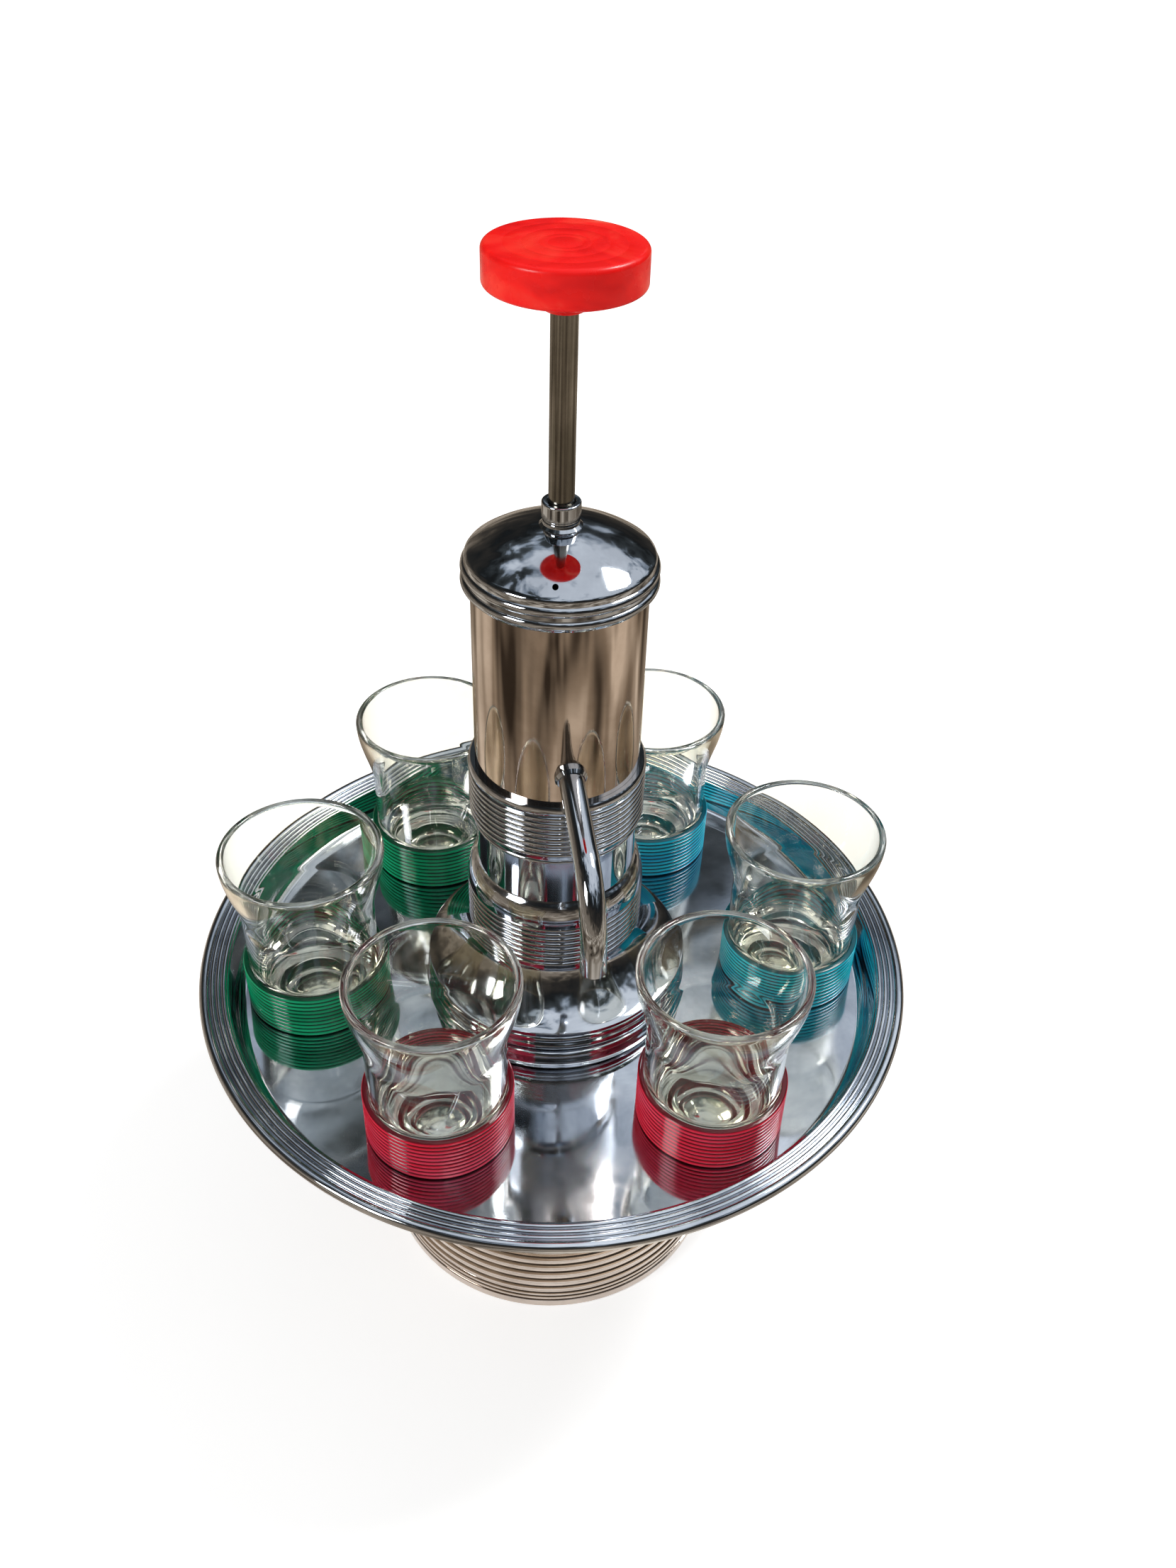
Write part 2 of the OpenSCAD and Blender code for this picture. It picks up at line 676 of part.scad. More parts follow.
// The spout's path as a solid of radius r, starting the given length inside the column. The sloping
// leg is a hair wider than the bend, and takes in the bend's end.
module spout_solid(r, inside, over) {
    at_spout_root() translate([0, 0, -inside]) cylinder(r = r + eps, h = spout_run + inside + slack);
    at_spout_side(spout_reach - spout_bend)
        translate([0, 0, mouth_z + spout_drop])
            rotate([90, 0, 0]) rotate_extrude(angle = 90 - spout_fall) translate([spout_bend, 0])
                circle(r = r);
    at_spout_side(spout_reach)
        translate([0, 0, mouth_z - over]) cylinder(r = r, h = spout_drop + over);
}

module spout() {
    color("silver") difference() {
        spout_solid(spout_r, 3, 0);
        spout_solid(spout_bore_r, 4, eps);
        cylinder(r = column_in_r + 0.1, h = root_z + 20);
    }
}

module spout_ferrule() {
    color("silver") difference() {
        at_spout_root() {
            translate([0, 0, -1]) cylinder(r = spout_r + 1, h = 2);
            translate([0, 0, 1]) cylinder(r1 = spout_r + 1, r2 = spout_r + 0.3, h = 1);
        }
        at_spout_root() translate([0, 0, -4]) cylinder(r = spout_r + run, h = 12);
        cylinder(r = column_r + 0.02, h = root_z + 20);
    }
}

// ---- Tray ----

module tray() {
    wall_r = rim_in_r - wall_lean;
    top = concat(
        [[neck_r + slack, centre_z]],
        arc(centre_r - centre_round, centre_z - centre_round, centre_round, 90, 0, 8),
        [[centre_r, tray_floor_z + 0.8], [centre_r + 0.8, tray_floor_z]],
        arc(wall_r - cove_r, tray_floor_z + cove_r, cove_r, -90, -8, 10),
        [[rim_in_r - 0.4, rim_z + tray_sheet - 0.5], [rim_in_r, rim_z + tray_sheet]],
        [[tray_r - edge_bead_r, rim_z + tray_sheet]]
    );
    under = concat(
        [[neck_r + slack, centre_z - tray_sheet]],
        arc(centre_r - centre_round, centre_z - centre_round, centre_round - tray_sheet, 90, 0, 8),
        [[centre_r - tray_sheet, tray_floor_z - 0.3], [centre_r - 0.3, tray_floor_z - tray_sheet]],
        arc(wall_r - cove_r, tray_floor_z + cove_r, cove_r + tray_sheet, -90, -8, 10),
        [[rim_in_r + tray_sheet, rim_z]],
        [[tray_r - edge_bead_r, rim_z]]
    );
    color("silver") rotate_extrude() {
        polygon(concat(under, reverse(top)));
        for (i = [0:rim_rings - 1])
            translate([rim_in_r + ring_r + 0.2 + ring_step * i, rim_z + tray_sheet - 0.1])
                circle(r = ring_r);
        translate([tray_r - edge_bead_r, tray_top_z - edge_bead_r]) circle(r = edge_bead_r);
    }
}

module tray_hub() {
    color("gold") rotate_extrude() {
        wall_2d(neck_r + run, hub_sleeve_r, hub_z, centre_z - tray_sheet - hub_z);
        wall_2d(neck_r + run, washer_r, hub_z, hub_flange_h);
    }
}

// ---- Glasses ----

module glass_2d() {
    body_z = glass_h - lip_r;
    in_r = glass_body_r - glass_wall;
    punt_round = (punt_r * punt_r + punt_h * punt_h) / (2 * punt_h);
    well_round = 9;
    flare = [for (i = [0:14]) let (t = i / 14)
        [glass_body_r + (glass_rim_r - glass_body_r) * t * t * (3 - 2 * t),
            flare_z + (body_z - flare_z) * t]];
    inner_flare = [for (p = flare) [p[0] - glass_wall + 0.1 * (p[1] - flare_z) / body_z, p[1]]];
    polygon(concat(
        [[0, punt_h]],
        [for (i = [1:8]) let (r = punt_r * i / 8)
            [r, punt_h - punt_round + sqrt(punt_round * punt_round - r * r)]],
        [[punt_r + 1, 0]],
        arc(glass_body_r - 0.2 - foot_round, foot_round, foot_round, -90, 0, 6),
        flare,
        reverse(inner_flare),
        arc(in_r - well_round, glass_bottom + well_round, well_round, 0, -90, 10),
        [[0, glass_bottom]]
    ));
    translate([glass_rim_r - lip_r - 0.02, body_z]) circle(r = lip_r);
}

// Puts children where glass i stands on the tray
module at_glass(i) {
    spot = glass_spots[i];
    distance = spot_near + spot[0] * (spot_far - spot_near);
    rotate([0, 0, spot[1] - 90]) translate([distance, 0, tray_floor_z + stand_gap]) children();
}

module shot_glass(i) {
    color("lightcyan", 0.4) at_glass(i) rotate_extrude() glass_2d();
}

module glass_band(i) {
    in_r = glass_body_r + band_gap;
    rib_h = band_h / band_ribs_n;
    color(band_colours[i]) at_glass(i) rotate_extrude() {
        wall_2d(in_r, in_r + band_sleeve + 0.05, 0.4, band_h);
        for (k = [0:band_ribs_n - 1])
            translate([in_r + band_sleeve, 0.4 + rib_h * (k + 0.5)]) circle(r = rib_h / 2 - 0.01);
    }
}

// ---- Cap ----

module dome_cap() {
    color("silver") difference() {
        rotate_extrude() difference() {
            union() {
                wall_2d(0, dome_r, lip_z, cap_edge_h);
                intersection() {
                    translate([0, dome_mid_z]) circle(r = dome_sphere, $fn = 200);
                    wall_2d(0, dome_r, dome_z, dome_rise + 1);
                }
                translate([cap_r - 1.5, lip_z + 2]) circle(r = 1.5);
                translate([cap_r - 1.7, lip_z + 6]) circle(r = 1.6);
            }
            wall_2d(-1, column_r + 0.1, lip_z - 1, cap_overlap + 1);
            difference() {
                intersection() {
                    translate([0, dome_mid_z]) circle(r = dome_sphere - cap_sheet, $fn = 200);
                    wall_2d(-1, column_in_r - 0.3, tube_top_z - 1, dome_rise + 5);
                }
                wall_2d(-1, 9, boss_pad_z, 10);
            }
            wall_2d(-1, spigot_r + run, boss_pad_z - 1, 20);
        }
        rotate([0, 0, -90 + vent_turn]) translate([vent_ring_r, 0, dome_z - 4])
            cylinder(r = vent_d / 2, h = 20);
    }
}

module guide_collar() {
    seat_r = dome_sphere + 0.02;
    groove_z = collar_top_z - 4;
    color("silver") difference() {
        rotate_extrude() {
            wall_2d(rod_r + run, spigot_r, spigot_z, dome_top_z - spigot_z + 0.5);
            difference() {
                union() {
                    wall_2d(rod_r + run, collar_r - 0.4, dome_top_z - 1.5, 4);
                    wall_2d(rod_r + run, collar_r, dome_top_z + 2, collar_h - 2.5);
                    wall_2d(rod_r + run, collar_r - 0.5, dome_top_z + 2, collar_h - 2);
                    translate([collar_r - 0.5, collar_top_z - 0.5]) circle(r = 0.5);
                    polygon([[rod_r + run, dome_top_z - 1.5], [collar_r + 0.6, dome_top_z - 1.5],
                        [collar_r + 0.6, dome_top_z - 0.1], [collar_r - 0.4, dome_top_z + 0.8],
                        [rod_r + run, dome_top_z + 0.8]]);
                }
                translate([0, dome_mid_z]) circle(r = seat_r, $fn = 200);
            }
        }
        ring(rod_r, rod_r + 1.05, groove_z, 2.4);
    }
}

module rod_packing() {
    color("black") ring(rod_r + run, rod_r + 1, collar_top_z - 4 + 0.02, 2.36);
}

module gland_nut() {
    color("dimgray") difference() {
        translate([0, 0, boss_pad_z - gland_nut_h]) cylinder(r = 7.6, h = gland_nut_h, $fn = 6);
        translate([0, 0, boss_pad_z - gland_nut_h - eps])
            cylinder(r = spigot_r + run, h = gland_nut_h + 2 * eps);
    }
}

// ---- Plunger ----

module knob() {
    ring_cut = 0.5;
    color("red") difference() {
        rotate_extrude() difference() {
            union() {
                round_disc_2d(knob_r, knob_z, knob_h, 1.5, 1.2);
                wall_2d(0, knob_boss_d / 2, boss_z + 0.6, knob_boss_h);
                wall_2d(0, knob_boss_d / 2 - 0.6, boss_z, knob_boss_h);
                translate([knob_boss_d / 2 - 0.6, boss_z + 0.6]) circle(r = 0.6);
            }
            // turned rings left on the top face
            for (r = [0.3, 0.52, 0.74] * knob_r)
                translate([r, knob_top_z + ring_cut * 0.5]) circle(r = ring_cut);
        }
        translate([0, 0, boss_z - eps]) cylinder(r = rod_r + run, h = rod_top_z - boss_z + 0.2);
    }
}

module plunger_rod() {
    color("gray") union() {
        translate([0, 0, rod_z]) cylinder(r = rod_r, h = rod_top_z - rod_z);
        translate([0, 0, follower_z - piston_nut_h - stud_over])
            cylinder(r = stud_r, h = rod_z - follower_z + piston_nut_h + stud_over + eps);
    }
}

module stop_collar() {
    color("dimgray") ring(rod_r + run, rod_r + 3, stop_z - stop_h, stop_h);
}

module top_buffer() {
    color("black") ring(rod_r + run, rod_r + 3.4, stop_z, buffer_h);
}

module piston() {
    color("goldenrod") difference() {
        translate([0, 0, piston_z]) cylinder(r = bore_r - 0.35, h = piston_h);
        translate([0, 0, piston_z - eps]) cylinder(r = stud_r + run, h = piston_h + 2 * eps);
    }
}

// Leather cup whose lip faces down into the cylinder
module cup_seal() {
    color("saddlebrown") rotate_extrude() difference() {
        wall_2d(stud_r + run, bore_r - run, follower_z, seal_h);
        wall_2d(0, bore_r - run - leather_t, follower_z - 1, seal_h - leather_t + 1);
    }
}

module follower() {
    color("goldenrod")
        ring(stud_r + run, bore_r - run - leather_t - 0.3, follower_z, seal_h - leather_t);
}

module piston_nut() {
    color("dimgray") difference() {
        translate([0, 0, follower_z - piston_nut_h]) cylinder(r = 4.8, h = piston_nut_h, $fn = 6);
        translate([0, 0, follower_z - piston_nut_h - eps])
            cylinder(r = stud_r + run, h = piston_nut_h + 2 * eps);
    }
}

felt_pad();
base_can();
base_bottom();
base_deck();
neck_sleeve();
thrust_washer();
hub_nut();
pedestal();
pedestal_plate();
column_tube();
pump_cylinder();
valve_body();
pump_screws();
inlet_ball();
inlet_cage();
outlet_ball();
riser_pipe();
riser_elbow();
dip_tube();
strainer();
spout();
spout_ferrule();
return_spring();
tray();
tray_hub();
for (i = [0:5]) {
    shot_glass(i);
    glass_band(i);
}
dome_cap();
guide_collar();
gland_nut();
rod_packing();
knob();
plunger_rod();
stop_collar();
top_buffer();
piston();
cup_seal();
follower();
piston_nut();
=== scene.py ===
# %% [markdown]
# # A shot dispenser with a turning tray
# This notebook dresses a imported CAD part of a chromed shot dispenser: a ribbed base, a tray that
# turns, six banded glasses, and a pump column with a curved spout and a red push knob.
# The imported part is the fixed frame, so every piece made here sits just where the CAD piece sits.

import json
import math

import bmesh
import bpy
from mathutils import Matrix, Vector


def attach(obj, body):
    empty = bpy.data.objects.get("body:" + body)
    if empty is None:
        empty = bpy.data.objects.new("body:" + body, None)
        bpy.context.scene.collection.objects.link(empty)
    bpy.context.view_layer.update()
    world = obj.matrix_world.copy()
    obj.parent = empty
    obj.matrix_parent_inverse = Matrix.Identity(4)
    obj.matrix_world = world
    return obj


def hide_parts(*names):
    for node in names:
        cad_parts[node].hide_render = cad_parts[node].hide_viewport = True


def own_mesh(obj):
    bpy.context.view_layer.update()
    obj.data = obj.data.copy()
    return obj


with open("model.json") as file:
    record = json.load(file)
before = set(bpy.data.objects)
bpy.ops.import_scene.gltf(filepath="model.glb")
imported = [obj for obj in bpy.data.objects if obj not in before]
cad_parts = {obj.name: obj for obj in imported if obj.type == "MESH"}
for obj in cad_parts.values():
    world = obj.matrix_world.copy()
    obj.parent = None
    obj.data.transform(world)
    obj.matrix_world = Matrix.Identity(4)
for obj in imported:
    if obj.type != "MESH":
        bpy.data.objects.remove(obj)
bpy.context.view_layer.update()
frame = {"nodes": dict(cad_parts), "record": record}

# %% [markdown]
# ## Turned shapes
# Almost every piece of this dispenser was made on a lathe, by spinning sheet or turning bar. In
# Blender the same thing is a profile, drawn as points of radius and height, and one full spin round
# the Z axis. A polished surface shows every flaw in its normals, so edges sharper than a limit are
# marked sharp and everything between them is shaded smooth. Sizes are written in millimetres, as on
# a drawing.

# %% Helpers for profiles and turning
MM = 0.001
TURN_STEPS = 180
SHARP_ANGLE = 32


def arc(x, z, r, start, end, count=10):
    """Points of an arc round (x, z), from one angle to another in degrees."""
    angles = [math.radians(start + (end - start) * i / count) for i in range(count + 1)]
    return [(x + r * math.cos(a), z + r * math.sin(a)) for a in angles]


def add_object(bm, name):
    """Makes an object from a bmesh, frees the bmesh and puts the object in the scene."""
    mesh = bpy.data.meshes.new(name)
    bm.to_mesh(mesh)
    bm.free()
    made = bpy.data.objects.new(name, mesh)
    bpy.context.scene.collection.objects.link(made)
    return made


def finish_mesh(bm, name, sharp=SHARP_ANGLE):
    """Closes seams, turns faces outwards, marks sharp edges and makes the object."""
    bmesh.ops.remove_doubles(bm, verts=bm.verts, dist=1e-6)
    bmesh.ops.dissolve_degenerate(bm, edges=bm.edges, dist=1e-7)
    bmesh.ops.delete(bm, geom=[e for e in bm.edges if not e.link_faces], context="EDGES")
    bmesh.ops.recalc_face_normals(bm, faces=bm.faces)
    for face in bm.faces:
        face.smooth = True
    for edge in bm.edges:
        if edge.is_manifold and edge.calc_face_angle() > math.radians(sharp):
            edge.smooth = False
    return add_object(bm, name)


def turn(name, profile, steps=TURN_STEPS, place=None):
    """Spins a closed profile of (radius, height) points in millimetres round Z."""
    bm = bmesh.new()
    verts = [bm.verts.new((r * MM, 0, z * MM)) for r, z in profile]
    edges = [bm.edges.new((a, b)) for a, b in zip(verts, verts[1:] + verts[:1])]
    bmesh.ops.spin(bm, geom=verts + edges, cent=(0, 0, 0), axis=(0, 0, 1), angle=math.tau,
                   steps=steps, use_merge=True)
    if place is not None:
        bmesh.ops.transform(bm, matrix=place, verts=bm.verts)
    return finish_mesh(bm, name)


def rib_points(crest, z, width, height, count=8):
    """A rounded rib standing out to the crest radius, from low to high."""
    round_r = (width * width / 4 + height * height) / (2 * height)
    half = math.degrees(math.asin(min(1, width / 2 / round_r)))
    return arc(crest - round_r, z, round_r, -half, half, count)


def put(piece, body, node, material):
    """Gives a piece its body and its material, and hides the CAD node that it stands for."""
    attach(piece, body)
    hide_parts(node)
    piece.data.materials.append(material)
    print(piece.name, "->", node, len(piece.data.polygons), "faces")


print("a turned piece has", TURN_STEPS, "sides unless it asks for others")

# %% [markdown]
# ## Finishes from noise
# A finish is never one even colour. Each material below mixes its colour, gloss and a very small
# bump from noise that reads Object coordinates, so the pattern is fixed to the piece and doesn't
# slide when it moves. The helpers keep each material down to the few values that describe the real
# surface.

# %% Helpers for materials
def new_material(name):
    """A material with its tree and its principled shader."""
    material = bpy.data.materials.new(name)
    material.use_nodes = True
    tree = material.node_tree
    return material, tree, tree.nodes["Principled BSDF"]


def set_values(node, values):
    """Sets sockets of a node or a shader by name."""
    for socket, value in values.items():
        node.inputs[socket].default_value = value


def own_coords(tree):
    """The piece's Object coordinates."""
    return tree.nodes.new("ShaderNodeTexCoord").outputs["Object"]


def grain(tree, scale, stretch=(1, 1, 1), detail=3, roughness=0.5, distortion=0):
    """Noise on the piece's own coordinates, stretched along each axis."""
    mapping = tree.nodes.new("ShaderNodeMapping")
    set_values(mapping, {"Scale": stretch})
    noise = tree.nodes.new("ShaderNodeTexNoise")
    set_values(noise, {"Scale": scale, "Detail": detail, "Roughness": roughness,
                       "Distortion": distortion})
    tree.links.new(own_coords(tree), mapping.inputs["Vector"])
    tree.links.new(mapping.outputs["Vector"], noise.inputs["Vector"])
    return noise.outputs["Fac"]


def spread(tree, value, low, high, start=0.35, end=0.65):
    """Turns the middle of a noise into a range of values."""
    node = tree.nodes.new("ShaderNodeMapRange")
    set_values(node, {"From Min": start, "From Max": end, "To Min": low, "To Max": high})
    tree.links.new(value, node.inputs["Value"])
    return node.outputs["Result"]


def tints(tree, value, stops):
    """Colours along a noise: a list of (place, colour)."""
    node = tree.nodes.new("ShaderNodeValToRGB")
    ramp = node.color_ramp
    while len(ramp.elements) < len(stops):
        ramp.elements.new(0.5)
    for element, (place, colour) in zip(ramp.elements, stops):
        element.position = place
        element.color = (*colour, 1)
    tree.links.new(value, node.inputs["Fac"])
    return node.outputs["Color"]


def combine(tree, operation, first, second):
    """One step of arithmetic on two values."""
    node = tree.nodes.new("ShaderNodeMath")
    node.operation = operation
    tree.links.new(first, node.inputs[0])
    tree.links.new(second, node.inputs[1])
    return node.outputs[0]


def bump(tree, shader, value, strength, distance):
    """A small relief on the surface."""
    node = tree.nodes.new("ShaderNodeBump")
    set_values(node, {"Strength": strength, "Distance": distance})
    tree.links.new(value, node.inputs["Height"])
    tree.links.new(node.outputs["Normal"], shader.inputs["Normal"])


print("every pattern reads Object coordinates")

# %% [markdown]
# ## Chrome and nickel
# Bright plate is a mirror with age on it: wipe marks, a little haze, and a tone that drifts by a
# few percent. One function makes every plate. The cap, pedestal and spout are cool chrome, the tray
# is a brighter one, and the column tube and the base are a warmer nickel. Full metallic with a low,
# uneven roughness gives the mirror, and the noise does the age.

# %% Chrome and nickel
def plate(name, dark, light, gloss=(0.03, 0.10)):
    """Bright plated metal between two tones."""
    material, tree, shader = new_material(name)
    set_values(shader, {"Metallic": 1})
    haze = grain(tree, 26, detail=5, roughness=0.65, distortion=0.4)
    tree.links.new(tints(tree, haze, [(0.36, dark), (0.62, light)]), shader.inputs["Base Color"])
    wipes = grain(tree, 70, stretch=(1, 1, 0.12), detail=4)
    tree.links.new(spread(tree, wipes, *gloss), shader.inputs["Roughness"])
    bump(tree, shader, grain(tree, 38, detail=1), 0.012, 0.001)
    return material


chrome = plate("bright_chrome", (0.43, 0.455, 0.49), (0.59, 0.62, 0.66))
tray_chrome = plate("tray_chrome", (0.50, 0.53, 0.58), (0.72, 0.75, 0.79), gloss=(0.04, 0.12))
nickel = plate("warm_nickel", (0.51, 0.43, 0.37), (0.68, 0.595, 0.53))
print("plates:", chrome.name, tray_chrome.name, nickel.name)

# %% [markdown]
# ## Knob resin
# The knob is cast resin, stirred before it set, so paler red curls through it, and the lathe left
# it glossy. Noise with strong distortion makes curls like those, and a ramp keeps them few and
# soft.

# %% Knob resin
def cast_resin():
    """Red resin with paler curls."""
    material, tree, shader = new_material("red_cast_resin")
    curls = grain(tree, 36, stretch=(1, 1, 1.6), distortion=1.6)
    stops = [(0.30, (0.72, 0.002, 0.003)), (0.52, (0.93, 0.008, 0.006)),
             (0.63, (0.97, 0.035, 0.020)), (0.75, (0.98, 0.18, 0.11))]
    tree.links.new(tints(tree, curls, stops), shader.inputs["Base Color"])
    tree.links.new(spread(tree, grain(tree, 120), 0.22, 0.34), shader.inputs["Roughness"])
    set_values(shader, {"Specular IOR Level": 0.3})
    bump(tree, shader, grain(tree, 300, stretch=(1, 1, 3)), 0.04, 0.0003)
    return material


resin = cast_resin()
print("knob finish:", resin.name)

# %% [markdown]
# ## Glass and coloured bands
# The glasses are clear soda glass, faintly yellow where it is thick. The bands are coloured plastic
# that light passes into, so they glow where light comes through. Transmission in the principled
# shader does both: all of it for the glass and part of it for the bands. A wave on the Z axis has
# its crests on the bands' ribs and paints shade into the grooves between them, darkening their
# colour.

# %% Glass and band plastic
def clear_glass():
    """Clear pressed glass with faint smears."""
    material, tree, shader = new_material("clear_soda_glass")
    tone = grain(tree, 30, detail=2)
    stops = [(0.35, (0.955, 0.935, 0.83)), (0.65, (0.982, 0.975, 0.91))]
    tree.links.new(tints(tree, tone, stops), shader.inputs["Base Color"])
    set_values(shader, {"Transmission Weight": 1, "IOR": 1.5})
    tree.links.new(spread(tree, grain(tree, 90, detail=4), 0.0, 0.03), shader.inputs["Roughness"])
    bump(tree, shader, grain(tree, 60, stretch=(1, 1, 0.3)), 0.03, 0.001)
    return material


RIB_PERIOD, FIRST_CREST = 0.0017, 0.11527
WAVE_UNIT = 20  # the wave texture turns 20 radians in a metre at a scale of 1
# Painted shade: the grooves between a band's ribs are darkened to 0.15 of the colour, and the
# crests keep it.
PAINTED_GROOVE_SHADE = [(0.12, (0.15, 0.15, 0.15)), (0.58, (1, 1, 1))]


def rib_shade_wave(tree):
    """A wave up the Z axis with one crest on each rib of a band, which paints shade into the
    grooves.
    """
    ribs = tree.nodes.new("ShaderNodeTexWave")
    ribs.bands_direction = "Z"
    turns = math.tau / RIB_PERIOD
    set_values(ribs, {"Scale": turns / WAVE_UNIT,
                      "Phase Offset": (math.pi - turns * FIRST_CREST) % math.tau})
    tree.links.new(own_coords(tree), ribs.inputs["Vector"])
    return ribs.outputs["Fac"]


def band_plastic(name, deep, bright):
    """Coloured see-through plastic, with painted shade in the grooves between its ribs."""
    material, tree, shader = new_material(name)
    streaks = grain(tree, 60, stretch=(0.4, 0.4, 2.5))
    shade = tree.nodes.new("ShaderNodeMix")
    shade.data_type = "RGBA"
    shade.blend_type = "MULTIPLY"
    shade.inputs[0].default_value = 1
    tree.links.new(tints(tree, streaks, [(0.3, deep), (0.7, bright)]), shade.inputs[6])
    # Painted shade: the rib wave multiplies the colour darker in the grooves.
    tree.links.new(tints(tree, rib_shade_wave(tree), PAINTED_GROOVE_SHADE), shade.inputs[7])
    tree.links.new(shade.outputs[2], shader.inputs["Base Color"])
    set_values(shader, {"Transmission Weight": 0.22, "IOR": 1.46})
    tree.links.new(spread(tree, grain(tree, 150), 0.05, 0.16), shader.inputs["Roughness"])
    return material


glass = clear_glass()
BANDS = {
    "red": band_plastic("red_band_plastic", (0.88, 0.008, 0.035), (1.0, 0.06, 0.13)),
    "blue": band_plastic("blue_band_plastic", (0.006, 0.56, 0.90), (0.03, 0.88, 1.0)),
    "green": band_plastic("green_band_plastic", (0.002, 0.27, 0.11), (0.012, 0.60, 0.26)),
}
print("glass and", len(BANDS), "band colours")


# %% [markdown]
# ## Plain inside finishes
# The pump, the valves and the neck are hidden, but some of them show when the cap is lifted off.
# They keep their own shape from the CAD part. A copy of each mesh is merged and shaded smooth, and
# gets a matching finish from the table here.

# %% Inside finishes
def inside_finish(name, dark, light, metallic, roughness, scale=60):
    """A plain working finish with an uneven tone."""
    material, tree, shader = new_material(name)
    set_values(shader, {"Metallic": metallic})
    tone = grain(tree, scale, detail=4, distortion=0.6)
    tree.links.new(tints(tree, tone, [(0.35, dark), (0.65, light)]), shader.inputs["Base Color"])
    tree.links.new(spread(tree, tone, *roughness), shader.inputs["Roughness"])
    bump(tree, shader, grain(tree, scale * 6), 0.08, 0.0004)
    return material


METAL, PLAIN = 1, 0
FINISHES = {
    "felt": inside_finish(
        "base_felt", (0.012, 0.045, 0.02), (0.03, 0.085, 0.04), PLAIN, (0.9, 1.0), 400),
    "tin_plate": inside_finish(
        "tin_plate", (0.42, 0.42, 0.42), (0.60, 0.60, 0.59), METAL, (0.25, 0.45)),
    "brass": inside_finish(
        "turned_brass", (0.52, 0.34, 0.11), (0.76, 0.56, 0.24), METAL, (0.16, 0.34)),
    "steel": inside_finish(
        "plain_steel", (0.34, 0.34, 0.35), (0.56, 0.56, 0.57), METAL, (0.22, 0.42)),
    "nylon": inside_finish(
        "washer_nylon", (0.72, 0.70, 0.62), (0.86, 0.85, 0.79), PLAIN, (0.4, 0.6)),
    "rubber": inside_finish(
        "black_rubber", (0.012, 0.012, 0.012), (0.035, 0.034, 0.033), PLAIN, (0.55, 0.8), 200),
    "cup_leather": inside_finish(
        "cup_leather", (0.13, 0.06, 0.025), (0.26, 0.13, 0.06), PLAIN, (0.45, 0.7), 160),
    "rod_nickel": plate("rod_nickel", (0.14, 0.13, 0.105), (0.25, 0.23, 0.195), gloss=(0.10, 0.24)),
    "chrome": chrome,
}
print("inside finishes:", len(FINISHES))


# %% [markdown]
# ## The ribbed base
# The base is a sheet can, rolled with twenty round ribs that hide dents and stiffen it, over a
# plain foot band. It could be an array of rings on a cylinder, but one profile with every rib in it
# spins into a single closed skin, as the real sheet is.

# %% Base can
BASE_R, BASE_IN_R = 62.3, 60.6
BASE_H, FOOT_Z = 107.5, 0.4
FOOT_EDGE, FOOT_BAND_Z = 0.3, 3.7
FINE_RINGS_Z, FINE_RING_W, FINE_RING_H = (5.05, 7.35), 2.2, 0.56
RIB_H, RIB_PITCH, RIB_W = 0.7, 4.65, 3.0
FIRST_RIB_Z, RIB_COUNT = 11.0, 20
TOP_WALL_Z = 103.2
LEDGE, LEDGE_Z = 3, 2.4


def base_profile():
    """The can's section: foot band, two fine rings, round ribs and a rolled top edge."""
    wall = BASE_R - RIB_H
    points = [(BASE_IN_R - LEDGE, FOOT_Z), (BASE_R - FOOT_EDGE, FOOT_Z),
              (BASE_R, FOOT_Z + FOOT_EDGE), (BASE_R, FOOT_BAND_Z), (wall, FOOT_BAND_Z + 0.2)]
    for z in FINE_RINGS_Z:
        points += rib_points(BASE_R - 0.14, z, FINE_RING_W, FINE_RING_H)
    for i in range(RIB_COUNT):
        points += rib_points(BASE_R, FIRST_RIB_Z + i * RIB_PITCH, RIB_W, RIB_H)
    points += [(wall, TOP_WALL_Z)] + rib_points(BASE_R, BASE_H - RIB_W / 2, RIB_W, RIB_H)
    return points + [(BASE_IN_R, BASE_H), (BASE_IN_R, LEDGE_Z), (BASE_IN_R - LEDGE, LEDGE_Z)]


put(turn("ribbed_base", base_profile()), "stand", "base_can", nickel)

# %% [markdown]
# ## The tray
# The tray is one spun sheet: a hole for the neck, a raised centre, a flat floor, a low wall, a rim
# with three fine rings and a rolled bead at its edge. Its section is drawn once round, over the top
# and back underneath.

# %% Tray
TRAY_R, TRAY_FLOOR = 120.0, 114.0
SHEET = 1.2
RIM_IN_R = TRAY_R - 9.2
WALL_R = RIM_IN_R - 1.9
RIM_TOP = 125.5
HOLE_R, CENTRE_Z, CENTRE_R = 34.3, 118.5, 43.5
CENTRE_ROUND, STEP_ROUND, WALL_ROUND = 2.6, 0.8, 3.4
RIM_RINGS, RING_R, FIRST_RING, RING_PITCH = 3, 0.95, 1.15, 1.87
BEAD_R, BEAD_TOP = 1.8, 126.7


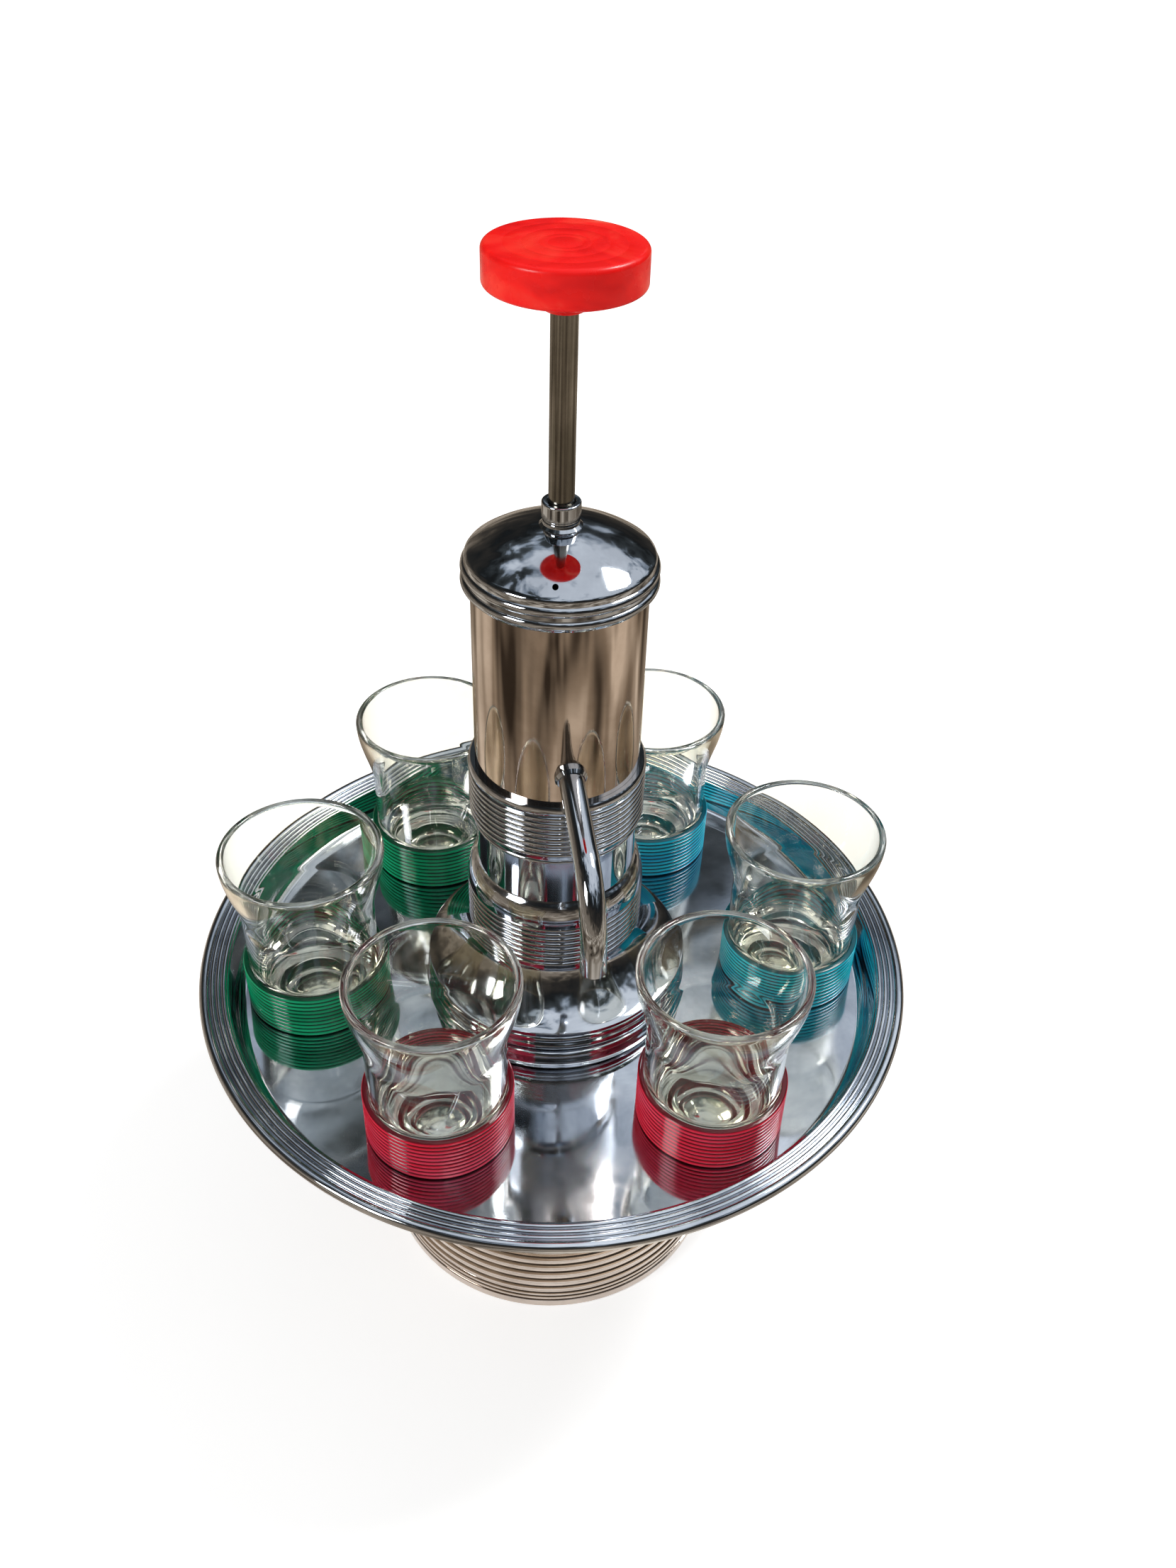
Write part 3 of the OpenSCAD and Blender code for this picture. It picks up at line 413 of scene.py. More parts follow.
def tray_profile():
    """The tray's section from its centre hole out over the top and back underneath."""
    top = [(HOLE_R, CENTRE_Z)]
    top += arc(CENTRE_R - CENTRE_ROUND, CENTRE_Z - CENTRE_ROUND, CENTRE_ROUND, 90, 0, 12)
    top += arc(CENTRE_R + STEP_ROUND, TRAY_FLOOR + STEP_ROUND, STEP_ROUND, 180, 270, 6)
    top += arc(WALL_R - WALL_ROUND, TRAY_FLOOR + WALL_ROUND, WALL_ROUND, -90, -8, 14)
    top += [(RIM_IN_R - 0.55, RIM_TOP - 0.7), (RIM_IN_R - 0.35, RIM_TOP - 0.25),
            (RIM_IN_R, RIM_TOP)]
    for i in range(RIM_RINGS):
        top += arc(RIM_IN_R + FIRST_RING + RING_PITCH * i, RIM_TOP - 0.1, RING_R, 168, 12, 10)
    top += arc(TRAY_R - BEAD_R, BEAD_TOP - BEAD_R, BEAD_R, 156, -160, 26)
    low = [(RIM_IN_R + SHEET, RIM_TOP - SHEET)]
    low += arc(WALL_R - WALL_ROUND, TRAY_FLOOR + WALL_ROUND, WALL_ROUND + SHEET, -8, -90, 12)
    low += [(CENTRE_R - 0.3, TRAY_FLOOR - SHEET), (CENTRE_R - SHEET, TRAY_FLOOR - 0.3)]
    low += arc(CENTRE_R - CENTRE_ROUND, CENTRE_Z - CENTRE_ROUND, CENTRE_ROUND - SHEET, 0, 90, 8)
    return top + low + [(HOLE_R, CENTRE_Z - SHEET)]


put(turn("serving_tray", tray_profile(), steps=240), "carousel", "tray", tray_chrome)

# %% [markdown]
# ## The pedestal
# The pedestal is the piece that takes most skill: a bell skirt on two beads, a ribbed band, a
# rounded shoulder, a plain waist and a second ribbed band that holds the tube. A power of cosine
# and sine draws the bell, which falls steeply and then runs out flat, as spun sheet does. The ribs
# are arcs between fine grooves. Each bead is written as the radius and height of its centre, its
# own radius, and the angles and steps of its arc.

# %% Pedestal
SKIRT_Z, SKIRT_R = 120.3, 43.6
SKIRT_BEADS = ((41.7, 124.5, 1.5, 60, -50, 10), (42.1, 121.8, 1.5, 58, -90, 12))
BELL_R, BELL_H, BELL_FOOT = SKIRT_R - 0.6, 15.7, (42.6, 126.9)
LOW_BAND_Z, LOW_BAND_R = 143.5, 28.9
SHOULDER_Z, SHOULDER_R, SHOULDER_IN_R = 161.0, 28.8, 26.1
SHOULDER_H, SHOULDER_ANGLE, SHOULDER_STEPS = 8.2, 70, 10
WAIST_Z, WAIST_R, WAIST_TOP = 169.5, 25.6, 185.8
WAIST_BEAD = (25.9, 187.0, 0.75, 60, -60, 6)
TOP_BAND_Z, TOP_BAND_R = 189.5, 27.6
TUBE_Z, TUBE_R, TUBE_LOW, TUBE_GAP = 209.2, 25.5, 186.0, 0.05
TUBE_BEAD_W, TUBE_BEAD_H = 3.6, 0.8
BAND_RIBS, RELIEF = 8, 0.7
PLATE_Z, PLATE_R, SEAT_R, FOOT_IN_R = 125.8, 38.9, 37.0, 39.6
WAIST_IN_R = 24.7


def bell(width, height, count=26):
    """The skirt's curve from the lower band out to its edge."""
    angles = [math.radians(90 * i / count) for i in range(count + 1)]
    return [(BELL_R - width * math.cos(a) ** 1.55, LOW_BAND_Z - height * math.sin(a) ** 1.3)
            for a in angles]


def band_ribs(crest, low, high):
    """A stack of fine round ribs between two heights, listed from the top down."""
    zone = (high - low) / BAND_RIBS
    points = []
    for i in reversed(range(BAND_RIBS)):
        points += reversed(rib_points(crest, low + zone * (i + 0.5), zone * 0.9, RELIEF, 6))
    return points


def shoulder():
    """The rounded shoulder from the waist down to the lower band."""
    widest = math.radians(SHOULDER_ANGLE)
    points = []
    for i in range(SHOULDER_STEPS + 1):
        a = math.radians(SHOULDER_ANGLE * (1 - i / SHOULDER_STEPS))
        swell = (1 - math.cos(a)) / (1 - math.cos(widest))
        points.append((SHOULDER_R - (SHOULDER_R - SHOULDER_IN_R) * swell,
                       SHOULDER_Z + SHOULDER_H * math.sin(a) / math.sin(widest)))
    return points


def pedestal_profile():
    """The section, down the outside and up the inside."""
    width = BELL_R - (LOW_BAND_R - RELIEF)
    outer = [(TUBE_R + TUBE_GAP, TUBE_Z)]
    outer += reversed(rib_points(TOP_BAND_R + 0.1, TUBE_Z - TUBE_BEAD_W / 2, TUBE_BEAD_W,
                                 TUBE_BEAD_H, 10))
    outer += band_ribs(TOP_BAND_R, TOP_BAND_Z, TUBE_Z - TUBE_BEAD_W)
    outer += [(26.75, TOP_BAND_Z), (26.5, TOP_BAND_Z - 0.9)] + arc(*WAIST_BEAD)
    outer += [(WAIST_R, WAIST_TOP), (WAIST_R, WAIST_Z + 0.4), (WAIST_R + 0.25, WAIST_Z)]
    outer += shoulder() + band_ribs(LOW_BAND_R, LOW_BAND_Z, SHOULDER_Z)
    outer += bell(width, BELL_H) + [BELL_FOOT]
    for bead in SKIRT_BEADS:
        outer += arc(*bead)
    inner = [(FOOT_IN_R, SKIRT_Z), (FOOT_IN_R, 123.0), (SEAT_R, 123.6), (SEAT_R, PLATE_Z),
             (PLATE_R, PLATE_Z), (PLATE_R, PLATE_Z + 1.6)]
    inner += [p for p in reversed(bell(width + 1, BELL_H + 1)) if p[1] > PLATE_Z + 2.6]
    inner += [(27.2, SHOULDER_Z - 0.6), (WAIST_IN_R, WAIST_Z - 0.8), (WAIST_IN_R, TUBE_LOW),
              (TUBE_R + TUBE_GAP, TUBE_LOW)]
    return outer + inner


put(turn("spun_pedestal", pedestal_profile()), "stand", "pedestal", chrome)

# %% [markdown]
# ## Column tube
# The tube is plain plated sheet with one hole, where the spout comes out. A Boolean cuts the round
# holes of the tube and the cap, because each one goes through a curved wall and the cut follows
# that wall without any fitting.

# %% Column tube
TUBE_WALL, TUBE_TOP = 0.8, 277.5
SPOUT_TURN, SPOUT_FALL = math.radians(9), math.radians(13)
ROOT_Z, ROOT_HOLE_R = 219.8, 3.9


def drill(piece, radius, start, direction, depth):
    """Cuts a round hole of a radius in millimetres along a direction."""
    bm = bmesh.new()
    bmesh.ops.create_cone(bm, cap_ends=True, segments=40, radius1=radius * MM,
                          radius2=radius * MM, depth=depth * MM)
    turn_to = Vector(direction).to_track_quat("Z", "Y").to_matrix().to_4x4()
    bmesh.ops.transform(bm, matrix=Matrix.Translation(Vector(start) * MM) @ turn_to,
                        verts=bm.verts)
    tool = add_object(bm, "drill")
    cut = piece.modifiers.new("hole", "BOOLEAN")
    cut.operation = "DIFFERENCE"
    cut.solver = "EXACT"
    cut.object = tool
    bpy.context.view_layer.update()
    seen = piece.evaluated_get(bpy.context.evaluated_depsgraph_get())
    drilled = bpy.data.meshes.new_from_object(seen)
    piece.modifiers.clear()
    piece.data = drilled
    bpy.data.objects.remove(tool)


SPOUT_DIR = Vector((math.sin(SPOUT_TURN), -math.cos(SPOUT_TURN), 0))
SPOUT_AXIS = Vector((SPOUT_DIR.x * math.cos(SPOUT_FALL), SPOUT_DIR.y * math.cos(SPOUT_FALL),
                     -math.sin(SPOUT_FALL)))
root = SPOUT_DIR * TUBE_R + Vector((0, 0, ROOT_Z))
tube_in_r = TUBE_R - TUBE_WALL
tube = turn("pump_column", [(TUBE_R, TUBE_LOW), (TUBE_R, TUBE_TOP), (tube_in_r, TUBE_TOP),
                            (tube_in_r, TUBE_LOW)])
drill(tube, ROOT_HOLE_R, root, SPOUT_AXIS, 10)
put(tube, "stand", "column_tube", nickel)

# %% [markdown]
# ## Dome cap
# The cap is a shallow dome on two beads, with a small air hole that lets air in as the liquor goes
# down. The dome is part of a sphere, so its points come from the sphere's radius, and the inside
# has the same points on a smaller sphere.

# %% Dome cap
DOME_R, DOME_TOP, DOME_EDGE = 45.0, 288.2, 279.2
DOME_MID, DOME_WALL = DOME_TOP - DOME_R, 1.2
LIP_Z, LIP_OUT_R = 269.8, 26.9
CAP_BEADS = ((26.5, LIP_Z + 6, 1.6, 68, -68, 14), (26.7, LIP_Z + 2, 1.5, 74, -74, 14))
CAP_IN_R, STOP_R = 25.6, 24.4
ROD_HOLE_R, BOSS_OUT_R, BOSS_LOW = 4.6, 9, 284.2
VENT_ANGLE, VENT_PLACE_R, VENT_R = math.radians(-3), 23.3, 0.85


def dome_points(radius, start_r, end_r, count=26):
    """Points on the dome's sphere between two radii."""
    steps = [start_r + (end_r - start_r) * i / count for i in range(count + 1)]
    return [(r, DOME_MID + math.sqrt(radius * radius - r * r)) for r in steps]


def cap_profile():
    """Over the dome, down the two beads and back inside."""
    points = dome_points(DOME_R, ROD_HOLE_R, 26.6)
    points += [(LIP_OUT_R, DOME_EDGE - 0.15), (LIP_OUT_R + 0.1, DOME_EDGE - 0.5)]
    for bead in CAP_BEADS:
        points += arc(*bead)
    points += [(LIP_OUT_R, LIP_Z), (CAP_IN_R, LIP_Z), (CAP_IN_R, TUBE_TOP), (STOP_R, TUBE_TOP)]
    points += dome_points(DOME_R - DOME_WALL, STOP_R, BOSS_OUT_R, 12)
    return points + [(BOSS_OUT_R, BOSS_LOW), (ROD_HOLE_R, BOSS_LOW)]


cap = turn("dome_cap_skin", cap_profile())
vent = Vector((math.sin(VENT_ANGLE) * VENT_PLACE_R, -math.cos(VENT_ANGLE) * VENT_PLACE_R, 281))
drill(cap, VENT_R, vent, (0, 0, 1), 14)
put(cap, "cap", "dome_cap", chrome)

# %% [markdown]
# ## Guide collar
# The collar that guides the rod is turned bar with its edges broken. Its foot lies on the dome, so
# the foot's points come from the dome's sphere, a hair above it.

# %% Guide collar
GUIDE_R, SPIGOT_R, SPIGOT_Z = 3.65, 4.55, 279.1
COLLAR_FOOT_R, COLLAR_R = 6.1, 5.5
COLLAR_GROOVE, COLLAR_EDGE = (5.6, 289.4, 0.5, 220, 150, 4), (5.0, 294.6, 0.5, 0, 90, 6)


def collar_profile():
    """A turned collar with a foot on the dome and a thin spigot under it."""
    foot = [(GUIDE_R, SPIGOT_Z), (SPIGOT_R, SPIGOT_Z)]
    foot += dome_points(DOME_R + 0.02, SPIGOT_R, COLLAR_FOOT_R, 3)
    neck = [(COLLAR_FOOT_R, 288.0), (5.3, 288.7)] + arc(*COLLAR_GROOVE)
    neck += [(5.1, 290.2), (COLLAR_R, 290.6), (COLLAR_R, 294.4)]
    return foot + neck + arc(*COLLAR_EDGE) + [(4.1, 295.1), (GUIDE_R, 294.7)]


put(turn("rod_guide_collar", collar_profile(), steps=96), "cap", "guide_collar", chrome)

# %% [markdown]
# ## Knob and rod
# The knob is a thick red disc on a short boss. The lathe left fine rings on its top, which are
# shallow grooves in the profile here, so they catch the light as the real ones do. The rod is dull
# nickel.

# %% Knob and rod
KNOB_R, KNOB_Z, KNOB_H = 20.7, 353.1, 10.0
KNOB_TOP_ROUND, KNOB_LOW_ROUND = 1.5, 1.2
BOSS_R, BOSS_Z, BOSS_ROUND, BOSS_CORNER = 5.65, 347.1, 0.6, 0.5
KNOB_GROOVES, GROOVE_DEPTH = (4.2, 6.4, 10.8, 15.3), 0.05
ROD_R, ROD_Z, ROD_TOP, ROD_EDGE = 3.6, 208.0, 359.3, 0.4
STUD_R, STUD_Z = 2.5, 194.5


def knob_profile():
    """The knob's section round the rod's hole."""
    top, hole = KNOB_Z + KNOB_H, ROD_R + 0.05
    points = [(hole, BOSS_Z), (BOSS_R - BOSS_ROUND, BOSS_Z)]
    points += arc(BOSS_R - BOSS_ROUND, BOSS_Z + BOSS_ROUND, BOSS_ROUND, -90, 0, 5)
    points += arc(BOSS_R + BOSS_CORNER, KNOB_Z - BOSS_CORNER, BOSS_CORNER, 180, 90, 4)
    points += arc(KNOB_R - KNOB_LOW_ROUND, KNOB_Z + KNOB_LOW_ROUND, KNOB_LOW_ROUND, -90, 0, 8)
    points += arc(KNOB_R - KNOB_TOP_ROUND, top - KNOB_TOP_ROUND, KNOB_TOP_ROUND, 0, 90, 10)
    for r in reversed(KNOB_GROOVES):
        points += [(r + 0.4, top), (r + 0.15, top - GROOVE_DEPTH),
                   (r - 0.15, top - GROOVE_DEPTH), (r - 0.4, top)]
    return points + [(0, top), (0, ROD_TOP + 0.2), (hole, ROD_TOP + 0.2)]


put(turn("push_knob", knob_profile()), "plunger", "knob", resin)
rod_profile = [(0, STUD_Z), (STUD_R, STUD_Z), (STUD_R, ROD_Z), (ROD_R, ROD_Z),
               (ROD_R, ROD_TOP - ROD_EDGE), (ROD_R - ROD_EDGE, ROD_TOP), (0, ROD_TOP)]
put(turn("pump_rod", rod_profile, steps=72), "plunger", "plunger_rod", FINISHES["rod_nickel"])

# %% [markdown]
# ## The spout
# The spout is a bent tube: a straight run that slopes down, a bend to the vertical and a short
# drop. It could be a curve with a bevel, but a ring that is extruded, spun through the bend and
# extruded again keeps exact radii, and the same moves with a smaller ring make the bore.

# %% Spout
SPOUT_R, BORE_R = 3.8, 2.8
BEND_R, DROP, REACH = 22.0, 6.0, 70.5
ROOT_IN = -0.6
SPOUT_SIDES, RUN_STEPS, BEND_STEPS = 36, 6, 28
RUN = (REACH - BEND_R * (1 - math.sin(SPOUT_FALL)) - TUBE_R) / math.cos(SPOUT_FALL)
MOUTH_Z = ROOT_Z - RUN * math.sin(SPOUT_FALL) - BEND_R * math.cos(SPOUT_FALL) - DROP
side = Vector((0, 0, 1)).cross(SPOUT_DIR)


def sorted_out(geom):
    """What an operator gave back, as a list of vertices and a list of edges."""
    return ([g for g in geom if isinstance(g, bmesh.types.BMVert)],
            [g for g in geom if isinstance(g, bmesh.types.BMEdge)])


def pull(bm, edges, offset):
    """Extrudes a ring of edges by an offset and returns the ring at the new end."""
    verts, new_edges = sorted_out(bmesh.ops.extrude_edge_only(bm, edges=edges)["geom"])
    bmesh.ops.translate(bm, verts=verts, vec=offset)
    return [e for e in new_edges if all(v in verts for v in e.verts)]


def tube_wall(bm, radius):
    """One wall of the spout, from inside the column to the mouth, as its two end rings."""
    ring = bmesh.ops.create_circle(bm, cap_ends=False, segments=SPOUT_SIDES, radius=radius * MM)
    turn_to = SPOUT_AXIS.to_track_quat("Z", "Y").to_matrix().to_4x4()
    place = Matrix.Translation((root + SPOUT_AXIS * ROOT_IN) * MM) @ turn_to
    bmesh.ops.transform(bm, matrix=place, verts=ring["verts"])
    first = edges = list({e for v in ring["verts"] for e in v.link_edges})
    for _ in range(RUN_STEPS):
        edges = pull(bm, edges, SPOUT_AXIS * (RUN - ROOT_IN) / RUN_STEPS * MM)
    centre = SPOUT_DIR * (REACH - BEND_R) + Vector((0, 0, MOUTH_Z + DROP))
    verts = list({v for e in edges for v in e.verts})
    spun = bmesh.ops.spin(bm, geom=verts + edges, cent=centre * MM, axis=side,
                          angle=math.pi / 2 - SPOUT_FALL, steps=BEND_STEPS, use_merge=False)
    edges = sorted_out(spun["geom_last"])[1]
    return first, pull(bm, edges, Vector((0, 0, -DROP * MM)))


bm = bmesh.new()
outer_first, outer_last = tube_wall(bm, SPOUT_R)
inner_first, inner_last = tube_wall(bm, BORE_R)
bmesh.ops.bridge_loops(bm, edges=outer_last + inner_last)
bmesh.ops.bridge_loops(bm, edges=outer_first + inner_first)
put(finish_mesh(bm, "curved_spout"), "stand", "spout", chrome)

# %% [markdown]
# ## Glasses
# A glass has a heavy bottom with a hollow under it, an even wall, and a lip that flares and ends in
# a round edge. Every glass comes from the same mould, so one profile is spun six times, and each
# goes to the place on the tray where it was put down. The band is a stack of round ribs, tight on
# the foot.

# %% Shot glasses and bands
GLASS_H, GLASS_R, RIM_R = 62.5, 21.6, 26.3
GLASS_WALL, GLASS_BOTTOM, LIP_R = 2.3, 9.5, 1.15
HOLLOW_R, HOLLOW_H, WELL_ROUND = 10.5, 3.2, 9
FOOT_IN, FOOT_ROUND = 2.4, 2.2
FLARE_Z = 0.575 * GLASS_H
HOLLOW_STEPS, FLARE_STEPS = 10, 24
BAND_GAP, BAND_LOW, BAND_TOP, BAND_RIB, BAND_RIB_COUNT = 0.12, 0.4, 17.4, 1.7, 10
STANDS_OFF = 0.02
SPOTS = [
    (74.35, -28, "red"), (78.51, 39.6, "red"),
    (82.08, 93, "blue"), (79.11, 154, "blue"),
    (78.36, 216, "green"), (81.63, 277, "green"),
]


def glass_profile():
    """Bottom hollow, foot, side, lip, inside wall and rounded well."""
    sphere = (HOLLOW_R ** 2 + HOLLOW_H ** 2) / (2 * HOLLOW_H)
    points = [(0, HOLLOW_H)]
    for i in range(1, HOLLOW_STEPS + 1):
        r = HOLLOW_R * i / HOLLOW_STEPS
        points.append((r, HOLLOW_H - sphere + math.sqrt(sphere * sphere - r * r)))
    points += arc(GLASS_R - FOOT_IN, FOOT_ROUND, FOOT_ROUND, -90, 0, 12)
    body_z = GLASS_H - LIP_R
    flare = []
    for i in range(FLARE_STEPS + 1):
        t = i / FLARE_STEPS
        flare.append((GLASS_R + (RIM_R - GLASS_R) * t * t * (3 - 2 * t),
                      FLARE_Z + (body_z - FLARE_Z) * t))
    inner = [(r - GLASS_WALL + 0.1 * (z - FLARE_Z) / body_z, z) for r, z in flare]
    points += flare + arc(RIM_R - LIP_R - 0.02, body_z, LIP_R, 10, 170, 10) + inner[::-1]
    points += arc(GLASS_R - GLASS_WALL - WELL_ROUND, GLASS_BOTTOM + WELL_ROUND, WELL_ROUND,
                  0, -90, 18)
    return points + [(0, GLASS_BOTTOM)]


def band_profile():
    """Ten round ribs on a thin sleeve."""
    in_r = GLASS_R + BAND_GAP
    points = [(in_r, BAND_LOW)]
    for i in range(BAND_RIB_COUNT):
        points += arc(in_r + BAND_RIB / 2, BAND_LOW + BAND_RIB * (i + 0.5), BAND_RIB / 2 - 0.01,
                      -88, 88, 10)
    return points + [(in_r, BAND_TOP)]


for i, (radius, azimuth, colour) in enumerate(SPOTS, 1):
    a = math.radians(azimuth)
    spot = Vector((math.sin(a) * radius, -math.cos(a) * radius, TRAY_FLOOR + STANDS_OFF))
    place = Matrix.Translation(spot * MM)
    tumbler = turn(f"tumbler_{i}", glass_profile(), steps=96, place=place)
    put(tumbler, f"glass_{i}", f"shot_glass_{i}", glass)
    band = turn(f"band_{i}", band_profile(), steps=96, place=place)
    put(band, f"glass_{i}", f"glass_band_{i}", BANDS[colour])

# %% [markdown]
# ## Pieces that keep their CAD shape
# Everything that isn't replaced above keeps the CAD shape. Its triangles are loose, so a copy is
# merged and shaded smooth between sharp edges before it gets its finish from the slot that the
# record names. The return spring's copy gets a mesh of its own, since the real spring shortens
# towards its foot as the knob goes down.

# %% Hidden pieces
SLOT_OF = {part["node"]: part["material_slot"] for part in frame["record"]["subparts"]}
BODY_OF = {node: body for body, nodes in frame["record"]["behaviour"]["bodies"].items()
           for node in nodes}
REPLACED = {"base_can", "tray", "pedestal", "column_tube", "dome_cap", "guide_collar", "knob",
            "plunger_rod", "spout"}
for i in range(1, len(SPOTS) + 1):
    REPLACED |= {f"shot_glass_{i}", f"glass_band_{i}"}
INSIDE_SHARP = 25

for node, source in frame["nodes"].items():
    if node not in REPLACED:
        bm = bmesh.new()
        bm.from_mesh(source.data)
        for face in bm.faces:
            face.material_index = 0
        copy = finish_mesh(bm, f"{node}_smooth", sharp=INSIDE_SHARP)
        put(copy, BODY_OF[node], node, FINISHES[SLOT_OF[node]])
        if node == "return_spring":
            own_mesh(copy)

# %% [markdown]
# ## Floor
# The dispenser stands on pale paper, which is stage. It could be lit until it is white, but that
# would burn out the object, so it has a glow that only the camera, gloss and glass see. The glow is
# weaker near the dispenser, which leaves room for the soft shadow.

# %% Floor
FLOOR_SIDE = 14
NEAR, FAR = 0.3, 1.6
GLOW_NEAR, GLOW_FAR = 0.45, 0.70


def seen_white(tree):
    """One where a ray comes from the camera, from gloss or through glass."""
    rays = tree.nodes.new("ShaderNodeLightPath")
    seen, gloss, through = (rays.outputs[f"Is {kind} Ray"]
                            for kind in ("Camera", "Glossy", "Transmission"))
    return combine(tree, "MAXIMUM", combine(tree, "MAXIMUM", seen, gloss), through)


def from_coords(tree, operation, vector=(0, 0, 0)):
    """One number from the Object coordinates: their length, or how far they go along a vector."""
    node = tree.nodes.new("ShaderNodeVectorMath")
    node.operation = operation
    node.inputs[1].default_value = vector
    tree.links.new(own_coords(tree), node.inputs[0])
    return node.outputs["Value"]


def floor_paper():
    """Pale paper that shows a soft shadow and renders white elsewhere."""
    material, tree, shader = new_material("pale_floor_paper")
    fibres = tints(tree, grain(tree, 8, detail=2), [(0.3, (0.80,) * 3), (0.7, (0.82,) * 3)])
    tree.links.new(fibres, shader.inputs["Base Color"])
    set_values(shader, {"Roughness": 0.9, "Specular IOR Level": 0, "Emission Color": (1, 1, 1, 1)})
    glow = spread(tree, from_coords(tree, "LENGTH"), GLOW_NEAR, GLOW_FAR, NEAR, FAR)
    tree.links.new(combine(tree, "MULTIPLY", seen_white(tree), glow),
                   shader.inputs["Emission Strength"])
    return material


def stage_plane(name, size):
    """A flat square on the ground."""
    bm = bmesh.new()
    bmesh.ops.create_grid(bm, x_segments=1, y_segments=1, size=size / 2)
    plane = add_object(bm, name)
    return plane


floor = stage_plane("floor", FLOOR_SIDE)
floor.data.materials.append(floor_paper())
print("floor:", FLOOR_SIDE, "m square")

# %% [markdown]
# ## Studio cloth and mat
# Chrome looks like what it reflects. On a pale floor under a white studio it would be all white, so
# a real studio hangs a mottled cloth round the set, brown where it meets the table, dark above that
# and pale overhead, and lays a brown mat down. Their reflections draw lines on every bead and rib.
# Both are stage here: only a ray that has met gloss sees them, so they are out of every picture,
# light nothing and throw no shadow.

# %% Studio cloth and mat
CLOTH_R, CLOTH_LOW = 2.6, 0.002
CLOTH_TONES = [
    (0.0, (0.30, 0.245, 0.19)), (0.12, (0.13, 0.105, 0.08)), (0.26, (0.05, 0.043, 0.036)),
    (0.60, (0.014, 0.016, 0.017)), (0.76, (0.07, 0.08, 0.085)), (0.805, (0.36, 0.42, 0.50)),
    (0.92, (0.88, 0.93, 1.0)),
]
MAT_HOLE_R, MAT_Z = 0.08, 0.0015
MAT_TONES = [(0.15, (0.04, 0.03, 0.022)), (0.50, (0.33, 0.265, 0.20)), (0.85, (0.85, 0.74, 0.61))]


def only_in_gloss(bm, name, material):
    """Makes a backdrop that only reflections show."""
    backdrop = add_object(bm, name)
    backdrop.data.materials.append(material)
    backdrop.visible_camera = False
    backdrop.visible_diffuse = False
    backdrop.visible_shadow = False


def mottled(name, scale, detail, lean, patch, stops):
    """Cloth with patches of tone, lighter along a direction, that shows once a ray met gloss."""
    material, tree, shader = new_material(name)
    blots = grain(tree, scale, detail=detail, roughness=0.6, distortion=0.5)
    tone = combine(tree, "ADD", spread(tree, blots, *patch, 0.32, 0.68),
                from_coords(tree, "DOT_PRODUCT", lean))
    tree.links.new(tints(tree, tone, stops), shader.inputs["Emission Color"])
    set_values(shader, {"Emission Strength": 1, "Base Color": (0, 0, 0, 1),
                        "Specular IOR Level": 0})
    rays = tree.nodes.new("ShaderNodeLightPath")
    tree.links.new(rays.outputs["Glossy Depth"], shader.inputs["Alpha"])
    return material


bm = bmesh.new()
bmesh.ops.create_uvsphere(bm, u_segments=64, v_segments=32, radius=CLOTH_R)
bmesh.ops.bisect_plane(bm, geom=bm.verts[:] + bm.edges[:] + bm.faces[:],
                       plane_co=(0, 0, CLOTH_LOW), plane_no=(0, 0, -1), clear_outer=True)
cloth = mottled("mottled_cloth", 1.9, 5, (0.11, 0.045, 0.36), (-0.13, 0.22), CLOTH_TONES)
only_in_gloss(bm, "studio_cloth", cloth)

bm = bmesh.new()
bmesh.ops.create_circle(bm, cap_ends=False, segments=64, radius=MAT_HOLE_R)
bmesh.ops.create_circle(bm, cap_ends=False, segments=64, radius=CLOTH_R)
bmesh.ops.bridge_loops(bm, edges=bm.edges[:])
bmesh.ops.translate(bm, verts=bm.verts, vec=(0, 0, MAT_Z))
only_in_gloss(bm, "studio_mat", mottled("mottled_mat", 3.6, 2, (0, 0, 0), (0.1, 0.9), MAT_TONES))
print("floor, cloth and mat are stage")

# %% [markdown]
# ## Lamps and world
# A large soft lamp high on the right is the key, as the sun is in the photograph, with a weaker one
# on the left. The world gives an even fill, and shows plain white wherever the camera, gloss or
# glass looks at it.

# %% Lamps and world
FILL_LEVEL = 0.42


